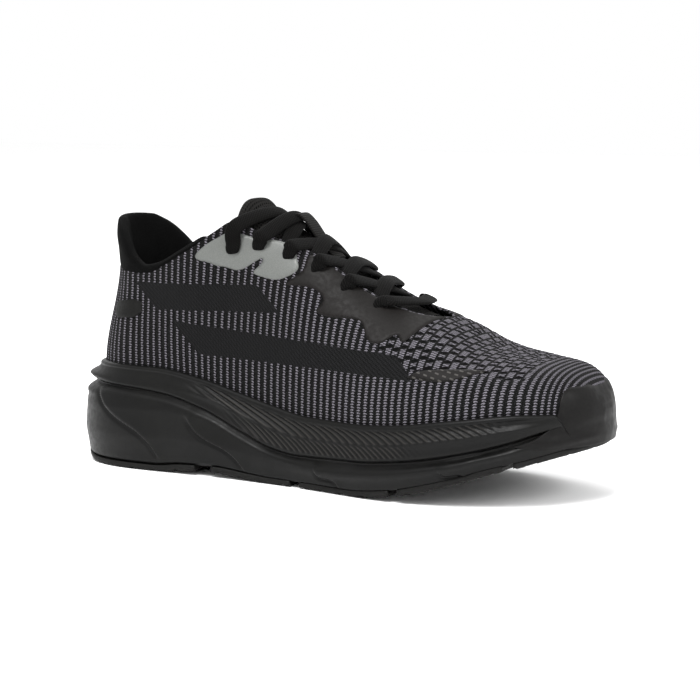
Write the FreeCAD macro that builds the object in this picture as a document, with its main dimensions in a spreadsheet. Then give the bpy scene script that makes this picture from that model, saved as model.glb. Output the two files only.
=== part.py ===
"""Right running shoe, EU 42, as a parametric assembly of its physical pieces.

Frame: +X to the toe, -Y to the lateral (outer) side, +Z up, ground at z = 0.
Most surfaces are built on stations. A station q is a vertical plane across the shoe:
x = q from the ankle to the toe, and planes that turn round a vertical axis behind it,
so that q = -150 is the plane straight through the back of the heel.
"""
import FreeCAD, Part
import Sketcher
import math
import os

V = FreeCAD.Vector
LATERAL, MEDIAL = -1, 1

os.makedirs("parts", exist_ok=True)
doc = FreeCAD.newDocument("RunningShoe")

# ---------------------------------------------------------------- driving dimensions (mm)
DIMENSIONS = [
    ("heel_centre_x", -105.0, "axis of the turning heel stations"),
    ("heel_span", 45.0, "station length of a quarter turn at the heel"),
    ("rim_lip", 2.6, "midsole rim outside the upper"),
    ("feather_depth", 8.0, "upper hidden below the midsole rim"),
    ("rubber_thick", 3.5, "outsole rubber"),
    ("strobel_thick", 1.2, "board stitched to the upper"),
    ("insole_thick", 4.4, "foam sockliner"),
    ("cover_thick", 0.7, "textile top of the sockliner"),
    ("knit_thick", 1.6, "knitted upper"),
    ("film_thick", 0.5, "welded overlays"),
    ("film_lift", 0.7, "air under the films"),
    ("clearance", 0.3, "air between neighbouring pieces"),
    ("liner_gap", 0.8, "air between the knit and the pieces behind it"),
    ("cup_gap", 1.2, "midsole cup outside the feather line"),
    ("counter_thick", 1.8, "heel counter and toe puff"),
    ("lining_thick", 1.0, "collar lining"),
    ("foam_thick", 5.0, "collar foam"),
    ("flex_x", 58.0, "toe flex axis"),
    ("flex_z", 28.5, "toe flex axis"),
    ("flex_lean", 30.0, "lean of the front part's rear edge above the toe flex axis"),
    ("lace_wide", 8.0, "flat oval lace"),
    ("lace_thick", 2.4, "flat oval lace"),
    ("hole_radius", 3.1, "punched lace hole"),
    ("tongue_thick", 6.0, "padded tongue"),
    ("tongue_split_x", -38.0, "fold line of the free tongue end"),
    ("fold_gap", 0.8, "gap in the tongue at its fold line"),
    ("tail_depth", 4.5, "lace ends under the tongue"),
    ("aglet_radius", 1.7, "moulded lace tip"),
    ("aglet_length", 20.0, "moulded lace tip"),
    ("lug_groove", 1.6, "depth of the tread grooves"),
    ("pod_height", 60.0, "height of the blocks that cut the outsole pods out"),
    ("throat_radius", 11.0, "rounded front end of the throat"),
    ("throat_height", 60.0, "cutter for the front end of the throat"),
    ("trim_length", 400.0, "block that trims the rubber flat at the ground"),
    ("trim_width", 200.0, "block that trims the rubber flat at the ground"),
    ("trim_depth", 20.0, "block that trims the rubber flat at the ground"),
]
sheet = doc.addObject("Spreadsheet::Sheet", "Dimensions")
for row, (alias, value, meaning) in enumerate(DIMENSIONS, 1):
    sheet.set("A%d" % row, meaning)
    sheet.set("B%d" % row, str(value))
    sheet.setAlias("B%d" % row, alias)
doc.recompute()


def dim(alias):
    return float(sheet.get(alias))


HEEL_X, FAN = dim("heel_centre_x"), dim("heel_span")
GAP = dim("clearance")


# ---------------------------------------------------------------- tables and curves
def table(*rows):
    """Smooth function through (position, value) rows, without overshoot."""
    xs = [r[0] for r in rows]
    ys = [r[1] for r in rows]
    last = len(rows) - 1
    steps = [xs[i + 1] - xs[i] for i in range(last)]
    rates = [(ys[i + 1] - ys[i]) / steps[i] for i in range(last)]

    def slope(i):
        if i == 0:
            return 0.0
        if i == last:
            return rates[-1]
        if rates[i - 1] * rates[i] <= 0:
            return 0.0
        a, b = 2 * steps[i] + steps[i - 1], steps[i] + 2 * steps[i - 1]
        return (a + b) / (a / rates[i - 1] + b / rates[i])

    slopes = [slope(i) for i in range(last + 1)]

    def value(x):
        if x <= xs[0]:
            return ys[0]
        if x >= xs[-1]:
            return ys[-1]
        i = max(j for j in range(last) if xs[j] <= x)
        t = (x - xs[i]) / steps[i]
        return ((1 + 2 * t) * (1 - t) ** 2 * ys[i] + t * (1 - t) ** 2 * steps[i] * slopes[i]
                + t * t * (3 - 2 * t) * ys[i + 1] + t * t * (t - 1) * steps[i] * slopes[i + 1])
    return value


# half width of the upper where it meets the midsole rim, by station
WIDTH = {
    LATERAL: table((-150, 33), (-127, 33), (-105, 34), (-80, 35), (-50, 36.5), (-20, 38.5), (10, 42),
                   (40, 47), (60, 49), (80, 48.5), (100, 45), (115, 39.5), (128, 31), (137, 22), (143, 11), (146, 0)),
    MEDIAL: table((-150, 33), (-127, 33), (-105, 34), (-80, 33.5), (-50, 33.5), (-20, 34.5), (10, 38.5),
                  (40, 44.5), (60, 49.5), (80, 50.5), (100, 48.5), (115, 44), (128, 37), (137, 30), (143, 21), (146, 8)),
}
RIM = table((-150, 52), (-127, 53.5), (-105, 54), (-89, 54), (-58, 50), (-37, 45), (-15, 40), (6, 36.5),
            (32, 36), (56, 37.5), (90, 42.5), (120, 46), (150, 46))
# underside of the sole before it is trimmed flat at z = 0
GROUND = table((-152, 15), (-146, 8), (-138, 2.4), (-126, -0.3), (-88, -0.3), (-70, 1.5), (-50, 2.1),
               (-30, 0.5), (-15, -0.3), (30, -0.3), (56, 2.4), (73, 6.5), (90, 11.5), (103, 16), (119, 20.5),
               (135, 25.2), (152, 29))
FOOTBED = table((-140, 35), (-100, 32.5), (-60, 29.5), (-30, 26), (0, 23), (30, 21.6), (58, 21.6),
                (75, 23.6), (90, 26.2), (110, 30.2), (125, 33.8), (150, 39))
RIDGE_Y = table((-60, 0), (0, 2), (50, 5), (80, 8), (110, 10), (146, 8))
ROOF = table((-60, 155), (-35, 149), (-22, 141), (0, 126), (15, 113), (28, 102), (40, 94.5), (52, 88.6),
             (60, 85.4), (68, 82), (75, 78), (81, 74.6), (87, 72), (95.5, 69.6), (104, 68.2), (113, 67),
             (122, 66), (128, 65), (133, 63), (138, 59.5), (141.6, 55.5), (144.7, 50), (147, 44))
FULL_UP = table((-60, 0.66), (0, 0.70), (40, 0.72), (70, 0.82), (100, 0.92), (130, 0.88), (146, 0.9))
FULL_IN = table((-60, 0.50), (0, 0.53), (40, 0.54), (70, 0.62), (100, 0.70), (130, 0.68), (146, 0.66))
# collar edge of the knit, by station
COLLAR_N = table((-150, 23.5), (-127, 25.5), (-105, 31.5), (-96, 33), (-76, 34.5), (-65, 33.5),
                 (-55, 30.5), (-45, 27))
COLLAR_Z = table((-150, 106), (-127, 105), (-105, 102.5), (-96, 103), (-85, 107.5), (-76, 112.5), (-65, 119),
                 (-55, 126), (-48, 130.5), (-40, 132))
COLLAR_LEAN = table((-150, 4), (-105, 2), (-80, 8), (-60, 30), (-48, 45))
BULGE = table((-150, 2), (-105, 2.5), (-60, 2.5), (-40, 2))
THROAT = table((-48, 25), (0, 22.5), (40, 17.5), (52, 14), (58, 9), (61.5, 0))
WALL_END, ARCH_START, THROAT_END = -50.0, -30.0, 61.5


def mix(a, b, t):
    return tuple(p + (q - p) * t for p, q in zip(a, b))


def bezier(points, t):
    a, b, c, d = points
    s = 1 - t
    return tuple(s ** 3 * a[k] + 3 * s * s * t * b[k] + 3 * s * t * t * c[k] + t ** 3 * d[k] for k in (0, 1))


def bezier_normal(points, t):
    """Unit normal of a section curve, pointing out of the shoe."""
    a, b, c, d = points
    s = 1 - t
    dn, dz = (3 * s * s * (b[k] - a[k]) + 6 * s * t * (c[k] - b[k]) + 3 * t * t * (d[k] - c[k])
              for k in (0, 1))
    size = math.hypot(dn, dz)
    return dz / size, -dn / size


def wall_section(q, side):
    """Collar region: from the feather line up to the collar edge."""
    z0 = RIM(q) - dim("feather_depth")
    n3, z3, lean = COLLAR_N(q), COLLAR_Z(q), math.radians(COLLAR_LEAN(q))
    reach = 0.35 * (z3 - z0)
    return ((WIDTH[side](q), z0), (WIDTH[side](q) + BULGE(q), z0 + reach),
            (n3 + reach * math.sin(lean), z3 - reach * math.cos(lean)), (n3, z3))


def arch_section(q, side):
    """Instep and toe box: from the feather line up to the ridge."""
    width, z0, top = WIDTH[side](q), RIM(q) - dim("feather_depth"), ROOF(q)
    ridge = side * RIDGE_Y(q)
    return ((width, z0), (width + 1.5, z0 + FULL_UP(q) * (top - z0)),
            (ridge + FULL_IN(q) * (width - ridge), top), (ridge, top))


def trim(points, n):
    """The part of a section curve that lies outside offset n."""
    low, high = 0.3, 1.0
    for _ in range(30):
        middle = (low + high) / 2
        if bezier(points, middle)[0] > n:
            low = middle
        else:
            high = middle
    a, b, c, d = points
    ab, bc, cd = mix(a, b, high), mix(b, c, high), mix(c, d, high)
    abc, bcd = mix(ab, bc, high), mix(bc, cd, high)
    return a, ab, abc, mix(abc, bcd, high)


def section(q, side):
    """Control points (n, z) of the outer face of the knit at a station."""
    if q <= WALL_END:
        return wall_section(q, side)
    arch = arch_section(q, side)
    if q < THROAT_END:
        arch = trim(arch, THROAT(q) + side * RIDGE_Y(q))
    if q >= ARCH_START:
        return arch
    t = (q - WALL_END) / (ARCH_START - WALL_END)
    t = t * t * (3 - 2 * t)
    return tuple(mix(a, b, t) for a, b in zip(wall_section(q, side), arch))


def place(q, side, n, z):
    """Point at offset n and height z in a station's plane."""
    if q >= HEEL_X:
        return V(q, side * n, z)
    turn = (HEEL_X - q) / FAN * math.pi / 2
    return V(HEEL_X - n * math.sin(turn), side * n * math.cos(turn), z)


def on_surface(q, side, t, depth=0.0):
    """Point on the knit's outer face (depth > 0 is inside it)."""
    points = section(q, side)
    n, z = bezier(points, t)
    out_n, out_z = bezier_normal(points, t)
    return place(q, side, n - depth * out_n, z - depth * out_z)


def height_to_t(q, side, z):
    """Parameter of a section curve at height z."""
    points = section(q, side)
    low, high = 0.0, 1.0
    for _ in range(30):
        middle = (low + high) / 2
        if bezier(points, middle)[1] < z:
            low = middle
        else:
            high = middle
    return high


def spline(points):
    curve = Part.BSplineCurve()
    curve.interpolate(points)
    return curve.toShape()


def patch_wire(outer, inner):
    """Closed wire of a thin section: outer curve, top, inner curve, bottom."""
    return Part.Wire([spline(outer), Part.makeLine(outer[-1], inner[-1]),
                      spline(list(reversed(inner))), Part.makeLine(inner[0], outer[0])])


def patch(stations, low, high, near, far, samples=7):
    """Thin solid that follows the knit's surface between two depths.

    stations: (q, side) in order. low, high: section parameter of its edges. near, far: depths.
    """
    wires = []
    for q, side in stations:
        t0, t1 = low(q, side), high(q, side)
        ts = [t0 + (t1 - t0) * i / (samples - 1) for i in range(samples)]
        outer = [on_surface(q, side, t, near(q, t) if callable(near) else near) for t in ts]
        inner = [on_surface(q, side, t, far(q, t) if callable(far) else far) for t in ts]
        wires.append(patch_wire(outer, inner))
    return solid_of(Part.makeLoft(wires, True, False))


def arch_patch(qs, t_low, near, far, samples=8):
    """Thin solid that goes over the toe box from side to side."""
    wires = []
    for q in qs:
        def run(depth):
            ts = [t_low + (1 - t_low) * i / samples for i in range(samples + 1)]
            left = [on_surface(q, LATERAL, t, depth) for t in ts[:-1]]
            right = [on_surface(q, MEDIAL, t, depth) for t in ts]
            return left + list(reversed(right))
        wires.append(patch_wire(run(near), run(far)))
    return solid_of(Part.makeLoft(wires, True, False))


def solid_of(shape):
    """A valid, outward-facing solid from a loft."""
    solid = shape.Solids[0] if shape.Solids else Part.makeSolid(shape.Shells[0])
    if solid.Volume < 0:
        solid.reverse()
    if not solid.isValid():
        solid.fix(0.01, 0.01, 0.1)
    return solid


def around_heel(front, steps_side, steps_heel=8):
    """Stations from the lateral side round the heel to the medial side."""
    side_run = [front + (HEEL_X - front) * i / steps_side for i in range(steps_side)]
    half = side_run + [HEEL_X - FAN * i / steps_heel for i in range(steps_heel)]
    return ([(q, LATERAL) for q in half] + [(HEEL_X - FAN, LATERAL)]
            + [(q, MEDIAL) for q in reversed(half)])


def feature(name, shape):
    item = doc.addObject("Part::Feature", name)
    item.Shape = shape
    return item


def primitive(kind, name, base, **sizes):
    """Part primitive whose sizes are cells of the sheet."""
    item = doc.addObject(kind, name)
    for size, alias in sizes.items():
        item.setExpression(size, "Dimensions." + alias)
    item.Placement.Base = base
    return item


def padded_outline(name, corners, height):
    """Body: a closed outline on the ground plane, padded up."""
    body = doc.addObject("PartDesign::Body", name)
    sketch = body.newObject("Sketcher::SketchObject", name + "_outline")
    plane = next(f for f in body.Origin.OriginFeatures if f.Role == "XY_Plane")
    sketch.AttachmentSupport = (plane, [""])
    sketch.MapMode = "FlatFace"
    loop = [V(x, y, 0) for x, y in corners]
    for start, end in zip(loop, loop[1:] + loop[:1]):
        sketch.addGeometry(Part.LineSegment(start, end))
    for i in range(len(loop)):
        sketch.addConstraint(Sketcher.Constraint("Coincident", i, 2, (i + 1) % len(loop), 1))
    pad = body.newObject("PartDesign::Pad", name + "_pad")
    pad.Profile = sketch
    pad.setExpression("Length", "Dimensions." + height)
    sketch.Visibility = False
    return body


def boolean(kind, name, base, tool):
    item = doc.addObject(kind, name)
    item.Base = base
    item.Tool = tool
    return item


# ---------------------------------------------------------------- outline of the sole unit
def feather_points():
    """(x, y, station) round the line where upper and midsole rim meet."""
    side_q = [-150, -135, -120, -105, -85, -60, -35, -10, 15, 40, 60, 80, 100, 114, 126, 136, 142.5]
    ring = []
    for q in side_q:
        p = place(q, LATERAL, WIDTH[LATERAL](q), 0)
        ring.append((p.x, p.y, q))
    ring.append((146.5, 4.0, 146.5))
    for q in reversed(side_q[1:]):
        p = place(q, MEDIAL, WIDTH[MEDIAL](q), 0)
        ring.append((p.x, p.y, q))
    return ring


RING = feather_points()
FLARE = table((-150, 12), (-127, 11.8), (-105, 10.6), (-70, 9), (-35, 6.2), (0, 5.4), (55, 5.4), (100, 4.6),
              (125, 3.9), (146, 2.2))


def offset_ring(offset, height):
    """Closed spline at a constant offset rule outside the feather line."""
    points = []
    count = len(RING)
    for i, (x, y, q) in enumerate(RING):
        ax, ay, _ = RING[i - 1]
        bx, by, _ = RING[(i + 1) % count]
        tx, ty = bx - ax, by - ay
        size = math.hypot(tx, ty)
        out = offset(q, x)
        points.append(V(x + out * ty / size, y - out * tx / size, height))
    curve = Part.BSplineCurve()
    curve.interpolate(Points=points, PeriodicFlag=True)
    return Part.Wire([curve.toShape()])


def side_profile(q, x, z):
    """Offset of the sole's side wall at height z."""
    low, high = GROUND(x), RIM(x)
    v = (z - low) / (high - low)
    flare, lip = FLARE(q), dim("rim_lip")
    wall = table((-0.05, flare - 6), (0.12, flare - 1.6), (0.34, flare), (0.6, flare - 0.8),
                 (0.82, (flare + lip) / 2), (1.0, lip))
    return wall(v)


def envelope():
    levels = [-3, 6, 14, 24, 38, 56]
    rings = [offset_ring(lambda q, x, z=z: side_profile(q, x, z), z) for z in levels]
    return solid_of(Part.makeLoft(rings, True, True))


def ring_prism(offset, low, high, corners=80):
    """Upright prism on the feather line, moved outwards by offset."""
    points = offset_ring(lambda q, x: offset, low).discretize(Number=corners + 1)
    return Part.Face(Part.makePolygon(points[:-1] + points[:1])).extrude(V(0, 0, high - low))


def profile_prism(bottom, top, step=8.0):
    """Slab between two height curves along the shoe."""
    xs = [-158 + step * i for i in range(int(316 / step) + 1)]
    lower = [V(x, -80, bottom(x)) for x in xs]
    upper = [V(x, -80, top(x)) for x in xs]
    wire = Part.Wire([spline(lower), Part.makeLine(lower[-1], upper[-1]),
                      spline(list(reversed(upper))), Part.makeLine(upper[0], lower[0])])
    return Part.Face(wire).extrude(V(0, 160, 0))


TOE_DROP = table((-160, 0), (131, 0), (139, 12), (160, 13))


def rim_line(x):
    """Top of the midsole rim, which drops at the toe to take the bumper."""
    return RIM(x) - TOE_DROP(x)


# ---------------------------------------------------------------- toe flex split
FLEX_X, FLEX_Z = dim("flex_x"), dim("flex_z")


def zone(front, lean_deg, shift=0.0):
    """Half space in front of or behind the toe flex; above the axis its edge leans forward."""
    side = 1 if front else -1
    edge = FLEX_X + side * GAP + shift
    lean = math.tan(math.radians(lean_deg))
    far, high = side * 200, 120
    points = [V(edge, -90, -20), V(edge, -90, FLEX_Z), V(edge + lean * high, -90, FLEX_Z + high),
              V(far, -90, FLEX_Z + high), V(far, -90, -20), V(edge, -90, -20)]
    return Part.Face(Part.makePolygon(points)).extrude(V(0, 180, 0))


rear_zone = feature("rear_zone", zone(False, 0))
front_zone = feature("front_zone", zone(True, dim("flex_lean")))
ahead_of_vamp = feature("ahead_of_vamp", zone(True, dim("flex_lean"), -2 * GAP))

# ---------------------------------------------------------------- sole unit
sole_envelope = feature("sole_envelope", envelope())
foam_slab = feature("foam_slab", profile_prism(lambda x: GROUND(x) + dim("rubber_thick"), rim_line))
cup = feature("cup", ring_prism(dim("cup_gap"), 0, 90).common(profile_prism(FOOTBED, lambda x: 100)))
foam_outer = boolean("Part::Common", "foam_outer", sole_envelope, foam_slab)
midsole = boolean("Part::Cut", "midsole", foam_outer, cup)
midsole_heel = boolean("Part::Common", "midsole_heel", midsole, rear_zone)
midsole_forefoot = boolean("Part::Common", "midsole_forefoot", midsole, front_zone)

# outsole rubber: pods under the midsole, with tread grooves across them
rubber_slab = feature("rubber_slab", profile_prism(GROUND, lambda x: GROUND(x) + dim("rubber_thick")))
rubber_full = boolean("Part::Common", "rubber_full", sole_envelope, rubber_slab)
below_ground = primitive("Part::Box", "below_ground",
                         V(-dim("trim_length") / 2, -dim("trim_width") / 2, -dim("trim_depth")),
                         Length="trim_length", Width="trim_width", Height="trim_depth")
rubber = boolean("Part::Cut", "rubber", rubber_full, below_ground)
PODS = {
    "outsole_heel_lateral": [(-160, -60), (-62, -60), (-62, -20), (-100, -6), (-128, -6), (-160, -6)],
    "outsole_heel_medial": [(-160, 60), (-70, 60), (-70, 20), (-100, 6), (-128, 6), (-160, 6)],
    "outsole_midfoot_lateral": [(-52, -60), (-4, -60), (-4, -16), (-52, -20)],
    "outsole_ball_lateral": [(2, -60), (56, -60), (56, -3), (2, -13)],
    "outsole_ball_medial": [(-20, 60), (56, 60), (56, 3), (-20, 14)],
    "outsole_forefoot_lateral": [(61, -62), (112, -62), (112, -1), (61, -3)],
    "outsole_forefoot_medial": [(61, 62), (112, 62), (112, 5), (61, 3)],
    "outsole_toe": [(117, -60), (160, -60), (160, 60), (117, 60)],
}


GROOVE_PITCH, GROOVE_WIDE, GROOVE_TALL = 13.0, 1.8, 9.6


def tread_grooves(corners):
    """Slits across a pod, cut up from the ground surface."""
    xs = [c[0] for c in corners]
    low, high = max(min(xs), -146), min(max(xs), 146)
    count = int((high - low) / GROOVE_PITCH)
    cutters = []
    for i in range(1, count + 1):
        x = low + (high - low) * i / (count + 1)
        top = GROUND(x) + dim("lug_groove") - 1.6
        cutters.append(Part.makeBox(GROOVE_WIDE, 140, GROOVE_TALL, V(x, -70, top - 8)))
    return Part.makeCompound(cutters)


for name, corners in PODS.items():
    block = padded_outline(name + "_plan", corners, "pod_height")
    pod_blank = boolean("Part::Common", name + "_blank", rubber, block)
    grooves = feature(name + "_grooves", tread_grooves(corners))
    boolean("Part::Cut", name, pod_blank, grooves)


# ---------------------------------------------------------------- boards and sockliner inside the cup
def layer(name, low, high, inset):
    outline = ring_prism(-inset, 0, 90)
    slab = profile_prism(lambda x: FOOTBED(x) + low, lambda x: FOOTBED(x) + high)
    return feature(name, outline.common(slab))


STROBEL, INSOLE, COVER = dim("strobel_thick"), dim("insole_thick"), dim("cover_thick")
inner = dim("knit_thick") + 0.5
strobel_board = layer("strobel_board", 0.05, STROBEL, inner)
insole = layer("insole", STROBEL + 0.05, STROBEL + INSOLE, inner + 2.2)
insole_cover = layer("insole_cover", STROBEL + INSOLE + 0.05, STROBEL + INSOLE + COVER, inner + 2.2)

# ---------------------------------------------------------------- knitted upper
KNIT = dim("knit_thick")


def bottom_edge(q, side):
    return 0.0


def top_edge(q, side):
    return 1.0


VAMP_START = FLEX_X + GAP
quarter_stations = around_heel(FLEX_X - GAP, 22)
quarter_skin = feature("quarter_skin", patch(quarter_stations, bottom_edge, top_edge, 0.0, KNIT, 9))
toe_qs = [VAMP_START, 61.5, 66, 72, 79, 86, 94, 102, 110, 118, 126, 133, 138.5, 142.5]
arch_skin = feature("arch_skin", arch_patch(toe_qs, 0.0, 0.0, KNIT))
throat_end = primitive("Part::Cylinder", "throat_end",
                       V(THROAT_END - dim("throat_radius"), RIDGE_Y(THROAT_END), 60),
                       Radius="throat_radius", Height="throat_height")
arch_cut = boolean("Part::Cut", "arch_cut", arch_skin, throat_end)
upper_vamp = boolean("Part::Cut", "upper_vamp", arch_cut, ahead_of_vamp)
upper_toebox = boolean("Part::Common", "upper_toebox", arch_skin, front_zone)

# lace holes: six a side, at a station and an offset from the centre plane
HOLE_Q = [35.0, 18.0, 2.0, -14.0, -31.0, -45.0]
HOLE_IN = [6.5, 6.8, 7.0, 7.2, 8.0, 15.0]


def n_to_t(q, side, n):
    """Parameter of a section curve at offset n, on its upper part."""
    points = section(q, side)
    low, high = 0.45, 1.0
    for _ in range(30):
        middle = (low + high) / 2
        if bezier(points, middle)[0] > n:
            low = middle
        else:
            high = middle
    return high


def flap_point(q, side, inset, lift=0.0):
    """Point on a lace flap, inset from its throat edge along the section, lifted off the knit."""
    points = section(q, side)
    t, run = 1.0, 0.0
    while run < inset and t > 0.3:
        a, b = bezier(points, t), bezier(points, t - 0.005)
        run += math.hypot(a[0] - b[0], a[1] - b[1])
        t -= 0.005
    return on_surface(q, side, t, -lift)


def flap_normal(q, side, inset):
    return (flap_point(q, side, inset, 1.0) - flap_point(q, side, inset, 0.0)).normalize()


def hole_cutters():
    rods = []
    for q, inset in zip(HOLE_Q, HOLE_IN):
        for side in (LATERAL, MEDIAL):
            axis = flap_normal(q, side, inset)
            rods.append(Part.makeCylinder(dim("hole_radius"), 16, flap_point(q, side, inset, 6), axis * -1))
    return Part.makeCompound(rods)


lace_holes = feature("lace_holes", hole_cutters())
upper_quarters = boolean("Part::Cut", "upper_quarters", quarter_skin, lace_holes)

# ---------------------------------------------------------------- reinforcements and collar
COUNTER = dim("counter_thick")
FOAM, LINING = dim("foam_thick"), dim("lining_thick")
under_knit = KNIT + dim("liner_gap")


def at_height(z):
    return lambda q, side: height_to_t(q, side, z)


counter_arc = around_heel(-72, 5)
heel_counter = feature("heel_counter", patch(
    counter_arc, at_height(48), lambda q, side: height_to_t(q, side, 62 + 0.42 * (-72 - q)),
    under_knit, under_knit + COUNTER, 7))
collar_arc = around_heel(-64, 6)


def foam_depth(q, t):
    """Inner face of the collar foam, thickest at the top."""
    rise = min(1.0, max(0.0, t - 0.5) * 2)
    return under_knit + 1.2 + (FOAM - 1.2) * math.sin(math.pi * rise / 2)


def lining_depth(q, t):
    """Outer face of the lining: over the counter below, over the foam above."""
    low = under_knit + COUNTER + dim("liner_gap")
    high = under_knit + FOAM + GAP
    return low + (high - low) * min(1.0, t / 0.5)


FOAM_LOW = table((-150, 96), (-105, 93), (-64, 92))
collar_foam = feature("collar_foam", patch(
    collar_arc, lambda q, side: height_to_t(q, side, FOAM_LOW(q) - 1), lambda q, side: 0.985,
    under_knit, foam_depth, 7))
collar_lining = feature("collar_lining", patch(
    collar_arc, at_height(50), lambda q, side: 0.985,
    lining_depth, lambda q, t: lining_depth(q, t) + LINING, 8))

# padded edge above the knit: low along the ankle, standing up as a tab behind the heel
TAB_Z = table((-150, 131), (-132, 130.2), (-124, 127.5), (-118, 124), (-112, 118.6), (-105, 111), (-98, 107),
              (-90, 108.6), (-76, 115.6), (-64, 122.6))
TAB_N = table((-150, 26.4), (-132, 26.8), (-118, 29.4), (-105, 32.6), (-96, 33.6), (-76, 34.5), (-64, 33))
RIM_DEPTH = table((-150, 7), (-120, 7.4), (-96, 8), (-64, 7.2))


def collar_rim_wire(q, side):
    """Closed section of the padded edge: outer face, rounded top, inner face."""
    low_n, low_z = COLLAR_N(q), COLLAR_Z(q) + GAP
    top_n, top_z, deep = TAB_N(q), TAB_Z(q), RIM_DEPTH(q)
    rise = top_z - low_z
    outer = [(low_n, low_z), (low_n + 0.25 * (top_n - low_n), low_z + 0.45 * rise),
             (top_n - 0.6, top_z - 0.22 * rise), (top_n - 0.25 * deep, top_z)]
    inner = [(top_n - 0.75 * deep, top_z - 0.06 * rise), (top_n - deep, top_z - 0.35 * rise),
             (low_n - deep, low_z + 0.1 * rise), (low_n - deep, low_z)]
    return patch_wire([place(q, side, n, z) for n, z in outer],
                      [place(q, side, n, z) for n, z in reversed(inner)])


def collar_rim(stations):
    return solid_of(Part.makeLoft([collar_rim_wire(q, side) for q, side in stations], True, False))


TAB_START = -97.0
heel_tab = feature("heel_tab", collar_rim(around_heel(TAB_START, 1)))
front_qs = [TAB_START + 0.4, -90, -80, -72, -64]
collar_rim_lateral = feature("collar_rim_lateral", collar_rim([(q, LATERAL) for q in front_qs]))
collar_rim_medial = feature("collar_rim_medial", collar_rim([(q, MEDIAL) for q in front_qs]))

# toe puff inside the tip, bumper outside it
toe_puff_qs = [108, 114, 120, 126, 132, 137, 141]
toe_puff = feature("toe_puff", arch_patch(toe_puff_qs, 0.12, under_knit, under_knit + 1.2))


def stepped_loft(levels):
    rings = [offset_ring(lambda q, x, off=off: off, z) for z, off in levels]
    return solid_of(Part.makeLoft(rings, True, True))


bumper_outer = stepped_loft([(22, 3.4), (36, 3.4), (46, 3.2), (52, 2.1), (58, -0.6)])
bumper_inner = stepped_loft([(20, 1.9), (36, 1.9), (46, 1.8), (52, 0.9), (60, -2.6)])
bumper_span = profile_prism(lambda x: rim_line(x) + GAP, lambda x: 57.2)
bumper_front = Part.makeBox(40, 160, 60, V(134, -80, 10))
bumper_front.rotate(V(134, 0, 34), V(0, 1, 0), 8)
bumper_ring = feature("bumper_ring", bumper_outer.cut(bumper_inner))
bumper_block = feature("bumper_block", bumper_span.common(bumper_front))
toe_bumper = boolean("Part::Common", "toe_bumper", bumper_ring, bumper_block)

# ---------------------------------------------------------------- welded films
FILM = dim("film_thick")


def film_lift(q):
    """Air under a film, more where the knit turns from the collar into the flap."""
    turn = min(1.0, max(0.0, (-38 - q) / 10))
    return dim("film_lift") + 1.4 * turn


def film(name, stations, low, high, samples=7):
    return feature(name, patch(stations, low, high, lambda q, t: -FILM - film_lift(q),
                               lambda q, t: -film_lift(q), samples))


def run_of(start, end, count, side):
    return [(start + (end - start) * i / count, side) for i in range(count + 1)]


def from_edge(inset_low, inset_high):
    """Edges of a film given by distances from the throat edge along the section."""
    def parameter(q, side, inset):
        points = section(q, side)
        t, travelled = 1.0, 0.0
        while travelled < inset and t > 0.2:
            a, b = bezier(points, t), bezier(points, t - 0.005)
            travelled += math.hypot(a[0] - b[0], a[1] - b[1])
            t -= 0.005
        return t
    return (lambda q, side: parameter(q, side, inset_low(q)),
            lambda q, side: parameter(q, side, inset_high(q)))


SILVER_LOW = table((-60, 9), (-50, 21), (-38, 22), (-26, 16), (-12, 14), (-5, 11))
SILVER_HIGH = table((-60, 6), (-50, 8), (-38, 2), (-8, 3), (-5, 6))
silver_low, silver_high = from_edge(SILVER_LOW, SILVER_HIGH)
DARK_LOW = table((-8, 8), (0, 13), (12, 14), (20, 17), (36, 18), (44, 20), (52, 17))
DARK_HIGH = table((-8, 6), (0, 3), (10, 2.5), (52, 1.5))
dark_low, dark_high = from_edge(DARK_LOW, DARK_HIGH)
for label, side in (("lateral", LATERAL), ("medial", MEDIAL)):
    eyestay = film("eyestay_upper_%s_blank" % label, run_of(-58, -5.5, 10, side), silver_low, silver_high)
    boolean("Part::Cut", "eyestay_upper_" + label, eyestay, lace_holes)
    lower = film("eyestay_lower_%s_blank" % label, run_of(-4.5, 52, 10, side), dark_low, dark_high)
    boolean("Part::Cut", "eyestay_lower_" + label, lower, lace_holes)
    film("forefoot_film_" + label, run_of(90, 107, 4, side), at_height(61), at_height(66.5))
film("heel_label", run_of(-114, -98, 4, LATERAL), at_height(79.5), at_height(85.5))
film("heel_reflector", [(-144, LATERAL), (-150, LATERAL), (-144, MEDIAL)], at_height(76), at_height(101))

# ---------------------------------------------------------------- tongue
TONGUE = dim("tongue_thick")
UNDER_FLAP = KNIT + dim("lace_thick") + 1.5
TONGUE_Z = table((-54, 141), (-50, 143), (-46, 142), (-42, 138.2), (-38, 135), (-30, 130.4), (-22, 125.6),
                 (-9, 117.4), (0, 111),
                 (15, 101.5), (28, 94.3), (40, 89.3), (54, 85))
TONGUE_HALF = table((-54, 22), (-50, 26), (-44, 29), (-30, 32), (0, 31), (40, 27), (54, 22))


def tongue_outline(q, drop):
    """Points across the tongue at a station, lowered by drop: under one flap, over the middle, under the other."""
    centre = V(q, RIDGE_Y(q), TONGUE_Z(q) - drop)
    halves = []
    for side in (LATERAL, MEDIAL):
        edge_n = section(q, side)[3][0]
        tip = min(TONGUE_HALF(q), edge_n)
        edge = on_surface(q, side, 1.0, UNDER_FLAP + drop)
        edge = V(q, edge.y * tip / edge_n, edge.z)
        under = on_surface(q, side, n_to_t(q, side, max(TONGUE_HALF(q), edge_n + 0.5)), UNDER_FLAP + drop)
        shoulder = V(q, centre.y + 0.55 * (edge.y - centre.y), centre.z + 0.3 * (edge.z - centre.z))
        halves.append([under, edge, shoulder])
    return halves[0] + [centre] + list(reversed(halves[1]))


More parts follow.
